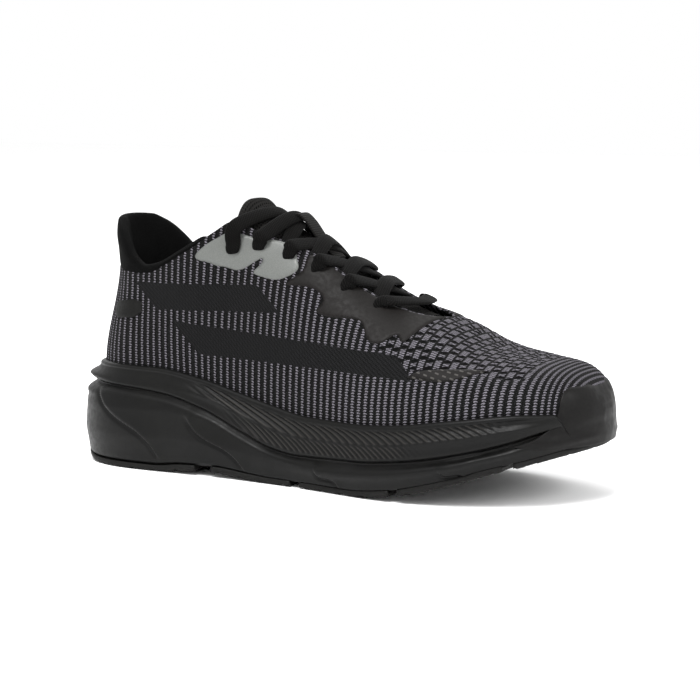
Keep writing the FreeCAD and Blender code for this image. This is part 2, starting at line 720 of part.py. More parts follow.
def tongue_piece(qs):
    wires = [patch_wire(tongue_outline(q, 0.0), tongue_outline(q, TONGUE)) for q in qs]
    return solid_of(Part.makeLoft(wires, True, False))


SPLIT = dim("tongue_split_x")
tongue_base = feature("tongue_base", tongue_piece([50, 40, 28, 16, 4, -8, -18, -28, SPLIT]))
tongue_end = feature("tongue_end", tongue_piece([SPLIT - dim("fold_gap"), -44, -49, -54]))

# webbing keeper on the tongue that the lace passes under
KEEPER_LOW, KEEPER_HIGH = -27.0, 0.0


def keeper_wire(x, lift):
    """Flat section of the webbing across the tongue."""
    centre = V(x, RIDGE_Y(x), TONGUE_Z(x) + lift)
    half = V(0, 5.5, 0)
    slope = math.atan2(TONGUE_Z(x - 1) - TONGUE_Z(x + 1), 2.0)
    up = V(math.sin(slope), 0, math.cos(slope)) * 0.6
    return Part.makePolygon([centre - half - up, centre + half - up, centre + half + up,
                             centre - half + up, centre - half - up])


keeper_rows = [(KEEPER_LOW, 1.0), (-25, 4.8), (-21.5, 8.6), (-16.5, 7.6), (-11, 4.0), (-6, 2.2), (KEEPER_HIGH, 1.0)]
tongue_keeper = feature("tongue_keeper", solid_of(
    Part.makeLoft([keeper_wire(x, lift) for x, lift in keeper_rows], True, True)))

# ---------------------------------------------------------------- lace
LACE_W, LACE_T = dim("lace_wide"), dim("lace_thick")


def flat_face(corners):
    return Part.Face(Part.makePolygon(corners + corners[:1]))


def lace_strand(points, normals, widths):
    """Flat strand through points, lying with its face along the normals."""
    rings = []
    last = len(points) - 1
    for i, (point, up, wide) in enumerate(zip(points, normals, widths)):
        along = points[min(i + 1, last)] - points[max(i - 1, 0)]
        across = along.cross(up).normalize()
        face = across.cross(along).normalize()
        w, h = across * (wide / 2), face * (LACE_T / 2)
        rings.append([point - w - h, point + w - h, point + w + h, point - w + h])
    faces = [flat_face(rings[0]), flat_face(rings[-1])]
    for one, two in zip(rings, rings[1:]):
        for i in range(4):
            j = (i + 1) % 4
            faces += [flat_face([one[i], one[j], two[j]]), flat_face([one[i], two[j], two[i]])]
    shell = Part.Shell(faces)
    shell.sewShape()
    strand = Part.Solid(shell)
    if strand.Volume < 0:
        strand.reverse()
    return strand


UP = V(0, 0, 1)


def instep_normal(x):
    """Normal of the instep at its middle line."""
    rise = (TONGUE_Z(x + 2) - TONGUE_Z(x - 2)) / 4
    return V(-rise, 0, 1).normalize()


def throat_middle(x, lift):
    """Point over the middle of the tongue, on the line between the two flap edges."""
    edge = (section(x, LATERAL)[3][1] + section(x, MEDIAL)[3][1]) / 2
    return V(x, RIDGE_Y(x), max(edge, TONGUE_Z(x) + 1.6) + lift)


def crossing_strand(row, side, lift, ahead=0.0):
    """From lace hole `row` over the tongue and under the opposite flap, towards the hole before it.

    ahead: how far the strand leans towards the toe on its way over.
    """
    q, q_far = HOLE_Q[row], HOLE_Q[row - 1]
    inset, far_inset = HOLE_IN[row], HOLE_IN[row - 1]
    middle = (q + q_far) / 2 + ahead
    q_under = q_far - 4.6 + 1.5 * ahead
    points = [flap_point(q, side, inset + 0.6, 0.9), flap_point(q + 1.0, side, inset - 3, 1.9),
              flap_point(q + 2.6, side, 1.0, 2.2), throat_middle(middle, lift),
              flap_point(q_under, -side, 0.0, -0.6) + V(0, side * 4.0, 0),
              flap_point(q_under + 1.2, -side, far_inset * 0.55, -KNIT - LACE_T / 2 - 0.6)]
    near, far = flap_normal(q, side, 3), flap_normal(q_under + 0.6, -side, 3)
    over = instep_normal(middle)
    normals = [near, near, (near + over).normalize(), over, (far + over).normalize(), far]
    return lace_strand(points, normals, [5, 7, LACE_W, LACE_W, 7, 6])


def first_bar():
    """Lowest strand, straight over the top from hole to hole."""
    q, inset = HOLE_Q[0], HOLE_IN[0]
    left, right = flap_normal(q, LATERAL, 3), flap_normal(q, MEDIAL, 3)
    points = [flap_point(q, LATERAL, inset + 0.6, 0.9), flap_point(q + 2, LATERAL, inset - 3, 2.0),
              flap_point(q + 6, LATERAL, 0.5, 2.4), V(q + 11, RIDGE_Y(q + 11), TONGUE_Z(q + 11) + 4.8),
              flap_point(q + 6, MEDIAL, 0.5, 2.4), flap_point(q + 2, MEDIAL, inset - 3, 2.0),
              flap_point(q, MEDIAL, inset + 0.6, 0.9)]
    return lace_strand(points, [left, left, left, UP, right, right, right], [5, 7, 8, 8, 8, 7, 5])


def tail_point(x, side):
    """Below the underside of the tongue, half way between its middle and its shoulder."""
    underside = tongue_outline(x, TONGUE)
    shoulder = underside[2] if side == LATERAL else underside[4]
    return (underside[3] + shoulder) * 0.5 - V(0, 0, dim("tail_depth"))


def tail(side):
    """Loose end tucked in along the underside of the tongue."""
    points = [tail_point(x, side) for x in (-30, -16, -4, 8)]
    return lace_strand(points, [UP] * 4, [LACE_W, LACE_W, LACE_W, 4])


# height of the strands over the middle, from the toe up: the one of each crossing that passes on top is higher
LATERAL_LIFTS = [1.4, 1.4, 1.6, 5.4, 4.2]
LATERAL_AHEAD = [0.0, 0.0, 0.0, 0.0, 3.2]
MEDIAL_LIFTS = [4.4, 4.4, 4.6, 1.8]
strands = [first_bar()]
for row, (lift, ahead) in enumerate(zip(LATERAL_LIFTS, LATERAL_AHEAD), 1):
    strands.append(crossing_strand(row, LATERAL, lift, ahead))
for row, lift in enumerate(MEDIAL_LIFTS, 1):
    strands.append(crossing_strand(row, MEDIAL, lift))
lace = feature("lace", Part.makeCompound(strands))
lace_tails = feature("lace_tails", Part.makeCompound([tail(LATERAL), tail(MEDIAL)]))

aglet_pair = []
for label, side in (("lateral", LATERAL), ("medial", MEDIAL)):
    start = tail_point(8, side)
    aglet_axis = (start - tail_point(-4, side)).normalize()
    aglet = primitive("Part::Cylinder", "aglet_" + label, start, Radius="aglet_radius", Height="aglet_length")
    aglet.Placement.Rotation = FreeCAD.Rotation(UP, aglet_axis)
    aglet_pair.append(aglet)
aglets = doc.addObject("Part::Compound", "aglets")
aglets.Links = aglet_pair

# ---------------------------------------------------------------- check and write
NODES = (["midsole_heel", "midsole_forefoot"] + list(PODS) + [
    "strobel_board", "insole", "insole_cover", "upper_quarters", "upper_vamp", "upper_toebox",
    "heel_counter", "toe_puff", "toe_bumper", "collar_foam", "collar_lining", "heel_tab",
    "collar_rim_lateral", "collar_rim_medial", "eyestay_upper_lateral", "eyestay_upper_medial",
    "eyestay_lower_lateral", "eyestay_lower_medial", "forefoot_film_lateral", "forefoot_film_medial",
    "heel_label", "heel_reflector", "tongue_base", "tongue_end", "tongue_keeper", "lace", "lace_tails", "aglets"])

doc.recompute()
for item in doc.Objects:
    if "Invalid" in item.State or "Error" in item.State:
        raise RuntimeError("%s failed: %s" % (item.Name, item.State))
for name in NODES:
    item = doc.getObject(name)
    item.Label = name
    if item.Shape.isNull() or not item.Shape.isValid() or not item.Shape.Solids:
        raise RuntimeError("%s has no valid solid" % name)
for name in NODES:
    doc.getObject(name).Shape.exportStep("parts/%s.step" % name)
print("wrote", len(NODES), "nodes")
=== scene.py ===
import math

import bmesh
import bpy
import numpy as np
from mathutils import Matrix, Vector
from mathutils.geometry import delaunay_2d_cdt


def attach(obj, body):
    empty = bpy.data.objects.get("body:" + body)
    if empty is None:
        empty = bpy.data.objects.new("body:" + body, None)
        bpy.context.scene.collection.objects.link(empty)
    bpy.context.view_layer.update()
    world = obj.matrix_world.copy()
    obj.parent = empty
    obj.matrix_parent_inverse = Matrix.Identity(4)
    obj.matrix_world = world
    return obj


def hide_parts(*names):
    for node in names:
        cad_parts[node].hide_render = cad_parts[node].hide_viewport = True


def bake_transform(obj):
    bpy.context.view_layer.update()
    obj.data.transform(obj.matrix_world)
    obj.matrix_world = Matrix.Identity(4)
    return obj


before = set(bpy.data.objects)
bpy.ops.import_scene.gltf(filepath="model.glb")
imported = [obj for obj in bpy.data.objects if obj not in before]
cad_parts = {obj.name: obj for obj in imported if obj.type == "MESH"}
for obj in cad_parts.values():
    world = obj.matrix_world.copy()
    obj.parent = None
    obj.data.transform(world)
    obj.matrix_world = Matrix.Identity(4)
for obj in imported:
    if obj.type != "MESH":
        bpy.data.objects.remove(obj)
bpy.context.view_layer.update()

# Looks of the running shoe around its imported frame.
# +X is the toe, -Y the lateral side, +Z up.
# Shapes are worked out in millimetres and scaled once, in add_mesh.
MM = 0.001
LATERAL, MEDIAL = -1, 1
SIDES = {"lateral": LATERAL, "medial": MEDIAL}

# the two planes of the toe flex (metres); only the first one's x is read, to tell pieces behind it from
# crossing ones
BEND_START, BEND_END = (0.040, 0.0, 0.0285), (0.090, 0.0, 0.0285)

# driving sizes of the frame (mm)
HEEL_X, FAN = -105.0, 45.0
FEATHER, RIM_LIP, RUBBER = 8.0, 2.6, 3.5
KNIT = 1.6
LACE_W, LACE_T = 8.4, 2.3
TONGUE = 6.0
SPLIT_X = -38.0


# ---------------------------------------------------------------- tables and curves
def table(*rows):
    """Smooth function through (position, value) rows, without overshoot."""
    xs, ys = np.array(rows, float).T
    steps = np.diff(xs)
    rates = np.diff(ys) / steps
    slopes = np.zeros(len(xs))
    slopes[-1] = rates[-1]
    for i in range(1, len(xs) - 1):
        if rates[i - 1] * rates[i] > 0:
            a, b = 2 * steps[i] + steps[i - 1], steps[i] + 2 * steps[i - 1]
            slopes[i] = (a + b) / (a / rates[i - 1] + b / rates[i])

    def value(x):
        x = np.clip(x, xs[0], xs[-1])
        i = np.clip(np.searchsorted(xs, x, side="right") - 1, 0, len(xs) - 2)
        h = steps[i]
        t = (x - xs[i]) / h
        return ((1 + 2 * t) * (1 - t) ** 2 * ys[i] + t * (1 - t) ** 2 * h * slopes[i]
                + t * t * (3 - 2 * t) * ys[i + 1] + t * t * (t - 1) * h * slopes[i + 1])
    return value


def smooth(t):
    """Smooth step from 0 to 1."""
    t = np.clip(t, 0.0, 1.0)
    return t * t * (3 - 2 * t)


def bell(x, middle, width):
    return np.exp(-((x - middle) / width) ** 2)


def unit(vectors):
    return vectors / np.linalg.norm(vectors, axis=-1, keepdims=True)


def run_along(points):
    """Distance covered at each point of a path (N, dimensions)."""
    return np.concatenate([[0], np.cumsum(np.linalg.norm(np.diff(points, axis=0), axis=1))])


def runs_along(paths):
    """Distances covered along each of several paths (paths, N, dimensions)."""
    steps = np.linalg.norm(np.diff(paths, axis=1), axis=-1)
    return np.concatenate([np.zeros((len(paths), 1)), np.cumsum(steps, axis=1)], 1)


WIDTH = {
    LATERAL: table((-150, 33), (-127, 33), (-105, 34), (-80, 35), (-50, 36.5), (-20, 38.5), (10, 42),
                   (40, 47), (60, 49), (80, 48.5), (100, 45), (115, 39.5), (128, 31), (137, 22),
                   (143, 11), (146, 0)),
    MEDIAL: table((-150, 33), (-127, 33), (-105, 34), (-80, 33.5), (-50, 33.5), (-20, 34.5), (10, 38.5),
                  (40, 44.5), (60, 49.5), (80, 50.5), (100, 48.5), (115, 44), (128, 37), (137, 30),
                  (143, 21), (146, 8)),
}
RIM = table((-150, 52), (-127, 53.5), (-105, 54), (-89, 54), (-58, 50), (-37, 45), (-15, 40), (6, 36.5),
            (32, 36), (56, 37.5), (90, 42.5), (120, 46), (150, 46))
GROUND = table((-152, 15), (-146, 8), (-138, 2.4), (-126, -0.3), (-88, -0.3), (-70, 1.5), (-50, 2.1),
               (-30, 0.5), (-15, -0.3), (30, -0.3), (56, 2.4), (73, 6.5), (90, 11.5), (103, 16),
               (119, 20.5), (135, 25.2), (152, 29))
FOOTBED = table((-140, 35), (-100, 32.5), (-60, 29.5), (-30, 26), (0, 23), (30, 21.6), (58, 21.6),
                (75, 23.6), (90, 26.2), (110, 30.2), (125, 33.8), (150, 39))
RIDGE_Y = table((-60, 0), (0, 2), (50, 5), (80, 8), (110, 10), (146, 8))
ROOF = table((-60, 155), (-35, 149), (-22, 141), (0, 126), (15, 113), (28, 102), (40, 94.5), (52, 88.6),
             (60, 85.4), (68, 82), (75, 78), (81, 74.6), (87, 72), (95.5, 69.6), (104, 68.2), (113, 67),
             (122, 66), (128, 65), (133, 63), (138, 59.5), (141.6, 55.5), (144.7, 50), (147, 44))
FULL_UP = table((-60, 0.66), (0, 0.70), (40, 0.72), (70, 0.82), (100, 0.92), (130, 0.88), (146, 0.9))
FULL_IN = table((-60, 0.50), (0, 0.53), (40, 0.54), (70, 0.62), (100, 0.70), (130, 0.68), (146, 0.66))
COLLAR_N = table((-150, 23.5), (-127, 25.5), (-105, 31.5), (-96, 33), (-76, 34.5), (-65, 33.5),
                 (-55, 30.5), (-45, 27))
COLLAR_Z = table((-150, 106), (-127, 105), (-105, 102.5), (-96, 103), (-85, 107.5), (-76, 112.5), (-65, 119),
                 (-55, 126), (-48, 130.5), (-40, 132))
COLLAR_LEAN = table((-150, 4), (-105, 2), (-80, 3), (-60, 8), (-48, 10))
BULGE = table((-150, 2), (-105, 2.5), (-60, 2.5), (-40, 2))
THROAT = table((-48, 25), (0, 22.5), (40, 17.5), (52, 14), (58, 9), (61.5, 0))
FLARE = table((-150, 12), (-127, 11.8), (-105, 10.6), (-70, 9), (-35, 6.2), (0, 5.4), (55, 5.4),
              (100, 4.6), (125, 3.7), (136, 2.5), (146, 1.4))
TONGUE_Z = table((-54, 141), (-50, 143), (-46, 142), (-42, 138.2), (-38, 135), (-30, 130.4),
                 (-22, 125.6), (-9, 117.4), (0, 111), (15, 101.5), (28, 94.3), (40, 89.3), (54, 85))
TONGUE_HALF = table((-54, 22), (-50, 26), (-44, 29), (-30, 32), (0, 31), (40, 27), (54, 22))
WALL_END, ARCH_START, THROAT_END = -50.0, -30.0, 61.5
HOLE_Q = [35.0, 18.0, 2.0, -14.0, -31.0, -45.0]
HOLE_IN = [6.5, 6.8, 7.0, 7.2, 8.0, 15.0]


def bezier(points, t):
    """Points of section curves: points (..., 4, 2), t (...)."""
    t = np.asarray(t)[..., None]
    s = 1 - t
    return (s ** 3 * points[..., 0, :] + 3 * s * s * t * points[..., 1, :]
            + 3 * s * t * t * points[..., 2, :] + t ** 3 * points[..., 3, :])


def control(*pairs):
    return np.stack([np.stack(np.broadcast_arrays(*pair), -1) for pair in pairs], -2)


def wall_section(q, side):
    """Collar region: from the feather line up to the collar edge."""
    width, z0 = WIDTH[side](q), RIM(q) - FEATHER
    n3, z3, lean = COLLAR_N(q), COLLAR_Z(q), np.radians(COLLAR_LEAN(q))
    reach = 0.35 * (z3 - z0)
    return control((width, z0), (width + BULGE(q), z0 + reach),
                   (n3 + reach * np.sin(lean), z3 - reach * np.cos(lean)), (n3, z3))


def arch_section(q, side):
    """Instep and toe box: from the feather line up to the ridge."""
    width, z0, top = WIDTH[side](q), RIM(q) - FEATHER, ROOF(q)
    ridge = side * RIDGE_Y(q)
    return control((width, z0), (width + 1.5, z0 + FULL_UP(q) * (top - z0)),
                   (ridge + FULL_IN(q) * (width - ridge), top), (ridge, top))


def trim(points, n):
    """The part of each section curve that lies outside offset n."""
    low, high = np.full(len(points), 0.3), np.ones(len(points))
    for _ in range(30):
        middle = (low + high) / 2
        outside = bezier(points, middle)[:, 0] > n
        low, high = np.where(outside, middle, low), np.where(outside, high, middle)
    t = high[:, None]
    a, b, c, d = (points[:, i] for i in range(4))
    ab, bc, cd = a + (b - a) * t, b + (c - b) * t, c + (d - c) * t
    abc, bcd = ab + (bc - ab) * t, bc + (cd - bc) * t
    return np.stack([a, ab, abc, abc + (bcd - abc) * t], 1)


def section(q, side):
    """Control points (n, z) of the outer face of the knit at each station of array q."""
    q = np.atleast_1d(np.asarray(q, float))
    arch = arch_section(q, side)
    trimmed = trim(arch, THROAT(q) + side * RIDGE_Y(q))
    arch = np.where((q < THROAT_END)[:, None, None], trimmed, arch)
    t = smooth((q - WALL_END) / (ARCH_START - WALL_END))[:, None, None]
    return wall_section(q, side) * (1 - t) + arch * t


def place(q, side, n, z):
    """Points at offset n and height z in the stations' planes."""
    turn = np.clip((HEEL_X - q) / FAN, 0, None) * math.pi / 2
    x = np.maximum(q, HEEL_X) - n * np.sin(turn)
    return np.stack(np.broadcast_arrays(x, side * n * np.cos(turn), z), -1)


def surface(q, side, t, lift=0.0):
    """Points on the knit's outer face for stations q (N) and parameters t (N, M), lifted off it."""
    points = section(q, side)[:, None]
    t = np.asarray(t, float)
    flat = bezier(points, t)
    step = 1e-3
    ahead, behind = bezier(points, np.minimum(t + step, 1)), bezier(points, np.maximum(t - step, 0))
    along = unit(ahead - behind)
    n, z = flat[..., 0] + lift * along[..., 1], flat[..., 1] - lift * along[..., 0]
    return place(np.atleast_1d(q)[:, None], side, n, z)


def knit_point(q, side, t, lift):
    """One point on the knit's outer face, lifted off it."""
    return surface([q], side, np.array([[t]]), lift)[0, 0]


def t_from_edge(q, side, inset):
    """Parameters at the given distances from the upper edge, for stations q (N) and insets (N, M)."""
    ts = np.linspace(1, 0, 241)
    points = section(q, side)[:, None]
    flat = bezier(points, ts[None])
    run = runs_along(flat)
    inset = np.broadcast_to(inset, (len(flat), np.shape(inset)[-1]))
    return np.stack([np.interp(inset[i], run[i], ts) for i in range(len(flat))])


def t_at_height(q, side, z):
    """Parameters at the given heights, for stations q (N) and heights (N, M)."""
    ts = np.linspace(0, 1, 241)
    flat = bezier(section(q, side)[:, None], ts[None])[..., 1]
    z = np.broadcast_to(z, (len(flat), np.shape(z)[-1]))
    return np.stack([np.interp(z[i], np.maximum.accumulate(flat[i]), ts) for i in range(len(flat))])


def spot(q, side, inset, lift=0.0):
    """One point on a lace flap, inset from its edge."""
    t = t_from_edge([q], side, np.array([[inset]]))[0, 0]
    return knit_point(q, side, t, lift)


# ---------------------------------------------------------------- mesh helpers
def add_mesh(name, points, faces, uv=None, values=None, weld=0.0):
    """A smooth-shaded object from millimetre points, with per-point UVs and float attributes."""
    mesh = bpy.data.meshes.new(name)
    mesh.from_pydata([tuple(p) for p in np.asarray(points, float) * MM], [], faces)
    if uv is not None:
        layer = mesh.uv_layers.new(name="Surface")
        corner = np.empty(len(mesh.loops), np.int32)
        mesh.loops.foreach_get("vertex_index", corner)
        layer.data.foreach_set("uv", np.asarray(uv, np.float32)[corner].ravel())
    for key, data in (values or {}).items():
        mesh.attributes.new(key, "FLOAT", "POINT").data.foreach_set("value", np.asarray(data, np.float32))
    piece = bpy.data.objects.new(name, mesh)
    bpy.context.scene.collection.objects.link(piece)
    if weld:
        work = bmesh.new()
        work.from_mesh(mesh)
        bmesh.ops.remove_doubles(work, verts=work.verts, dist=weld * MM)
        bmesh.ops.dissolve_degenerate(work, edges=work.edges, dist=weld * MM * 0.2)
        bmesh.ops.recalc_face_normals(work, faces=work.faces)
        work.to_mesh(mesh)
        work.free()
    mesh.polygons.foreach_set("use_smooth", [True] * len(mesh.polygons))
    mesh.update()
    return piece


def grid_faces(rows, cols, first=0, wrap_rows=False, wrap_cols=False):
    """Quads of a rows x cols grid whose point numbers start at first."""
    i, j = np.meshgrid(np.arange(rows if wrap_rows else rows - 1),
                       np.arange(cols if wrap_cols else cols - 1), indexing="ij")
    i2, j2 = (i + 1) % rows, (j + 1) % cols
    quads = np.stack([i * cols + j, i * cols + j2, i2 * cols + j2, i2 * cols + j], -1).reshape(-1, 4) + first
    return quads.tolist()


def tube(name, rings, uv):
    """Closed body from an array of rings (N, M, 3)."""
    rings = np.asarray(rings)
    n, m = rings.shape[:2]
    points = rings.reshape(-1, 3)
    faces = grid_faces(n, m, wrap_cols=True)
    faces += [list(range(m))[::-1], list(range((n - 1) * m, n * m))]
    return add_mesh(name, points, faces, uv)


def closed_spline(points, count):
    """count points evenly along a smooth closed curve through the given rows."""
    points = np.asarray(points, float)
    n = len(points)
    step = np.linalg.norm(np.roll(points, -1, 0)[:, :2] - points[:, :2], axis=1) ** 0.5
    knots = np.concatenate([[0], np.cumsum(step)])
    h = step
    system, right = np.zeros((n, n)), np.zeros((n, points.shape[1]))
    slope = (np.roll(points, -1, 0) - points) / h[:, None]
    for i in range(n):
        before = h[i - 1]
        system[i, i - 1] += h[i]
        system[i, i] += 2 * (before + h[i])
        system[i, (i + 1) % n] += before
        right[i] = 3 * (h[i] * slope[i - 1] + before * slope[i])
    tangent = np.linalg.solve(system, right)

    def value(u):
        i = np.clip(np.searchsorted(knots, u, side="right") - 1, 0, n - 1)
        j = (i + 1) % n
        t = ((u - knots[i]) / h[i])[:, None]
        return ((1 + 2 * t) * (1 - t) ** 2 * points[i] + t * (1 - t) ** 2 * h[i][:, None] * tangent[i]
                + t * t * (3 - 2 * t) * points[j] + t * t * (t - 1) * h[i][:, None] * tangent[j])

    fine_u = np.linspace(0, knots[-1], 4001)
    fine = value(fine_u)
    run = run_along(fine[:, :2])
    return value(np.interp(np.linspace(0, run[-1], count, endpoint=False), run, fine_u))


def smooth_path(points, count):
    """count points evenly along a smooth open curve through the given rows (Catmull-Rom)."""
    points = np.asarray(points, float)
    ends = np.vstack([2 * points[0] - points[1], points, 2 * points[-1] - points[-2]])
    pieces = []
    for i in range(1, len(ends) - 2):
        t = np.linspace(0, 1, 25, endpoint=False)[:, None]
        a, b, c, d = ends[i - 1:i + 3]
        pieces.append(0.5 * (2 * b + (c - a) * t + (2 * a - 5 * b + 4 * c - d) * t ** 2
                             + (3 * b - a - 3 * c + d) * t ** 3))
    fine = np.vstack(pieces + [points[-1:]])
    run = run_along(fine[:, :3])
    where = np.linspace(0, run[-1], count)
    return np.stack([np.interp(where, run, fine[:, k]) for k in range(fine.shape[1])], 1), where


# ---------------------------------------------------------------- material nodes
class Nodes:
    """Short names for the shader nodes of one material."""

    def __init__(self, name, color, rough, spec=0.5):
        self.material = bpy.data.materials.new(name)
        self.material.use_nodes = True
        self.tree = self.material.node_tree
        self.shader = self.tree.nodes["Principled BSDF"]
        self.shader.inputs["Base Color"].default_value = (*color, 1)
        self.shader.inputs["Roughness"].default_value = rough
        self.shader.inputs["Specular IOR Level"].default_value = spec

    def new(self, kind, **settings):
        node = self.tree.nodes.new(kind)
        for key, value in settings.items():
            setattr(node, key, value)
        return node

    def link(self, source, target):
        self.tree.links.new(source, target)

    def put(self, socket, value):
        if isinstance(value, (int, float)):
            socket.default_value = value
        elif isinstance(value, tuple):
            socket.default_value = value if len(value) == len(socket.default_value) else (*value, 1)
        else:
            self.link(value, socket)

    def math(self, operation, a, b=0.0):
        node = self.new("ShaderNodeMath", operation=operation)
        self.put(node.inputs[0], a)
        self.put(node.inputs[1], b)
        return node.outputs[0]

    def ramp(self, value, low, high, a=0.0, b=1.0):
        """Smooth step of value from low to high."""
        node = self.new("ShaderNodeMapRange", interpolation_type="SMOOTHSTEP")
        for socket, data in zip(node.inputs[:5], (value, low, high, a, b)):
            self.put(socket, data)
        return node.outputs[0]

    def mix(self, factor, a, b):
        node = self.new("ShaderNodeMix", data_type="RGBA")
        self.put(node.inputs["Factor"], factor)
        self.put(node.inputs[6], a)
        self.put(node.inputs[7], b)
        return node.outputs[2]

    def surface_uv(self):
        node = self.new("ShaderNodeSeparateXYZ")
        self.link(self.new("ShaderNodeUVMap", uv_map="Surface").outputs[0], node.inputs[0])
        return node.outputs[0], node.outputs[1]

    def place(self):
        """The object's own coordinates in millimetres."""
        node = self.new("ShaderNodeVectorMath", operation="SCALE")
        self.link(self.new("ShaderNodeTexCoord").outputs["Object"], node.inputs[0])
        node.inputs["Scale"].default_value = 1000
        return node.outputs[0]

    def noise(self, scale, detail=3.0):
        node = self.new("ShaderNodeTexNoise")
        node.inputs["Scale"].default_value = scale
        node.inputs["Detail"].default_value = detail
        self.link(self.place(), node.inputs["Vector"])
        return node.outputs["Fac"]

    def attribute(self, name):
        return self.new("ShaderNodeAttribute", attribute_name=name).outputs["Fac"]

    def wave(self, value, period):
        """0..1 cosine of value with the given period."""
        turn = self.math("MULTIPLY", value, 2 * math.pi / period)
        return self.math("ADD", self.math("MULTIPLY", self.math("COSINE", turn), 0.5), 0.5)

    def bump(self, height, distance, strength):
        node = self.new("ShaderNodeBump")
        node.inputs["Distance"].default_value = distance * MM
        node.inputs["Strength"].default_value = strength
        self.link(height, node.inputs["Height"])
        return node.outputs[0]

    def finish(self, color=None, rough=None, normal=None):
        for key, value in (("Base Color", color), ("Roughness", rough), ("Normal", normal)):
            if value is not None:
                self.link(value, self.shader.inputs[key])
        return self.material


def srgb(*levels):
    """Linear colour of 0..255 display levels."""
    return tuple(((v / 255 + 0.055) / 1.055) ** 2.4 if v > 10 else v / 255 / 12.92 for v in levels)


RIB = 3.85        # pitch of the knit's ribs
STITCH = 1.35     # height of one stitch in a rib
NET_STEP = 12.6  # the netting repeats along a rib
HOLE_TALL = 2.3  # gap in a netted rib
HOLE_APART = 0.18  # each of the two gaps in a repeat lies this share of it from the middle


def knit_material():
    """Black ground with raised grey ribs of bead-like stitches; netting and a plain band by attribute."""
    m = Nodes("knit", srgb(14, 14, 14), 0.9, 0.08)
    m.shader.inputs["Sheen Weight"].default_value = 0.02
    m.shader.inputs["Sheen Roughness"].default_value = 0.5
    u, v = m.surface_uv()
    cell = m.math("MULTIPLY", m.math("SUBTRACT", m.math("FRACT", u), 0.5), RIB)
    net = m.ramp(m.attribute("net"), -0.4, 0.4)
    band = m.ramp(m.attribute("band"), -0.2, 0.2)
    fuzz = m.noise(1.1, 3.0)
    # each rib is a chain of beads that swings from side to side
    swing = m.math("MULTIPLY", m.math("SINE", m.math("MULTIPLY", v, math.pi / STITCH)), 0.24)
    away = m.math("ABSOLUTE", m.math("ADD", cell, swing))
    bead = m.ramp(m.wave(m.math("ADD", v, m.math("MULTIPLY", away, 0.25)), STITCH), 0.12, 0.75)
    half = m.math("MULTIPLY", m.attribute("wide"), m.math("ADD", m.math("MULTIPLY", bead, 0.62), 0.46))
    chain = m.ramp(m.math("SUBTRACT", half, away), -0.08, 0.2)
    # netting: wide ribs of two chains each, with a gap at every other crossing
    pair = m.math("ABSOLUTE", m.math("SUBTRACT", m.math("ABSOLUTE", cell), 0.62))
    side_step = m.math("MULTIPLY", m.math("SIGN", cell), STITCH / 4)
    knot = m.ramp(m.wave(m.math("ADD", v, side_step), STITCH), 0.1, 0.8)
    half_rib = m.math("ADD", m.math("MULTIPLY", knot, 0.26), 0.56)
    wide_rib = m.ramp(m.math("SUBTRACT", half_rib, pair), -0.1, 0.12)
    odd = m.math("FRACT", m.math("MULTIPLY", m.math("FLOOR", u), 0.5))
    row = m.math("FRACT", m.math("ADD", m.math("DIVIDE", v, NET_STEP), odd))
    beside = m.math("SUBTRACT", m.math("ABSOLUTE", m.math("SUBTRACT", row, 0.5)), HOLE_APART)
    from_gap = m.math("MULTIPLY", m.math("ABSOLUTE", beside), NET_STEP)
    gap = m.ramp(m.math("ADD", from_gap, m.math("MULTIPLY", m.math("MULTIPLY", cell, cell), 0.22)),
                 HOLE_TALL / 2 + 0.45, HOLE_TALL / 2)
    wide_rib = m.math("MULTIPLY", wide_rib, m.math("SUBTRACT", 1.0, gap))
    off_net = m.math("SUBTRACT", 1.0, net)
    rib = m.math("ADD", m.math("MULTIPLY", chain, off_net), m.math("MULTIPLY", wide_rib, net))
    rib = m.math("MULTIPLY", rib, m.math("SUBTRACT", 1.0, band))
    beads = m.math("ADD", m.math("MULTIPLY", bead, off_net), m.math("MULTIPLY", knot, net))
    # ground: fine dark stitches, diagonal in the plain band
    wale = m.wave(m.math("MULTIPLY", u, RIB), 0.96)
    ground = m.math("MULTIPLY", wale, m.wave(m.math("ADD", v, m.math("MULTIPLY", u, 1.9)), STITCH * 0.7))
    dark = m.mix(m.math("MULTIPLY", ground, m.ramp(fuzz, 0.3, 0.7)), srgb(5, 5, 5), srgb(38, 38, 39))
    dark = m.mix(m.math("MULTIPLY", gap, net), dark, srgb(4, 4, 4))
    twill = m.wave(m.math("ADD", v, m.math("MULTIPLY", u, RIB * 0.8)), 2.1)
    twill_tone = m.math("MULTIPLY", twill, m.ramp(fuzz, 0.3, 0.7, 0.5, 1.0))
    plain = m.mix(twill_tone, srgb(4, 4, 4), srgb(22, 22, 23))
    plain = m.mix(m.math("MULTIPLY", ground, 0.7), plain, srgb(30, 30, 31))
    dark = m.mix(band, dark, plain)
    # the rib's grey yarn with painted light: bead and knot cores carry a painted highlight and the gaps
    # between them painted shade
    grey = m.mix(beads, srgb(24, 24, 25), srgb(108, 105, 112))
    grey = m.mix(m.ramp(fuzz, 0.35, 0.75, 0.0, 0.4), grey, srgb(54, 52, 56))
    color = m.mix(rib, dark, grey)
    relief = m.math("ADD", m.math("MULTIPLY", rib, m.math("ADD", m.math("MULTIPLY", beads, 0.6), 0.4)),
                    m.math("MULTIPLY", ground, 0.5))
    return m.finish(color, None, m.bump(relief, 0.4, 1.0))


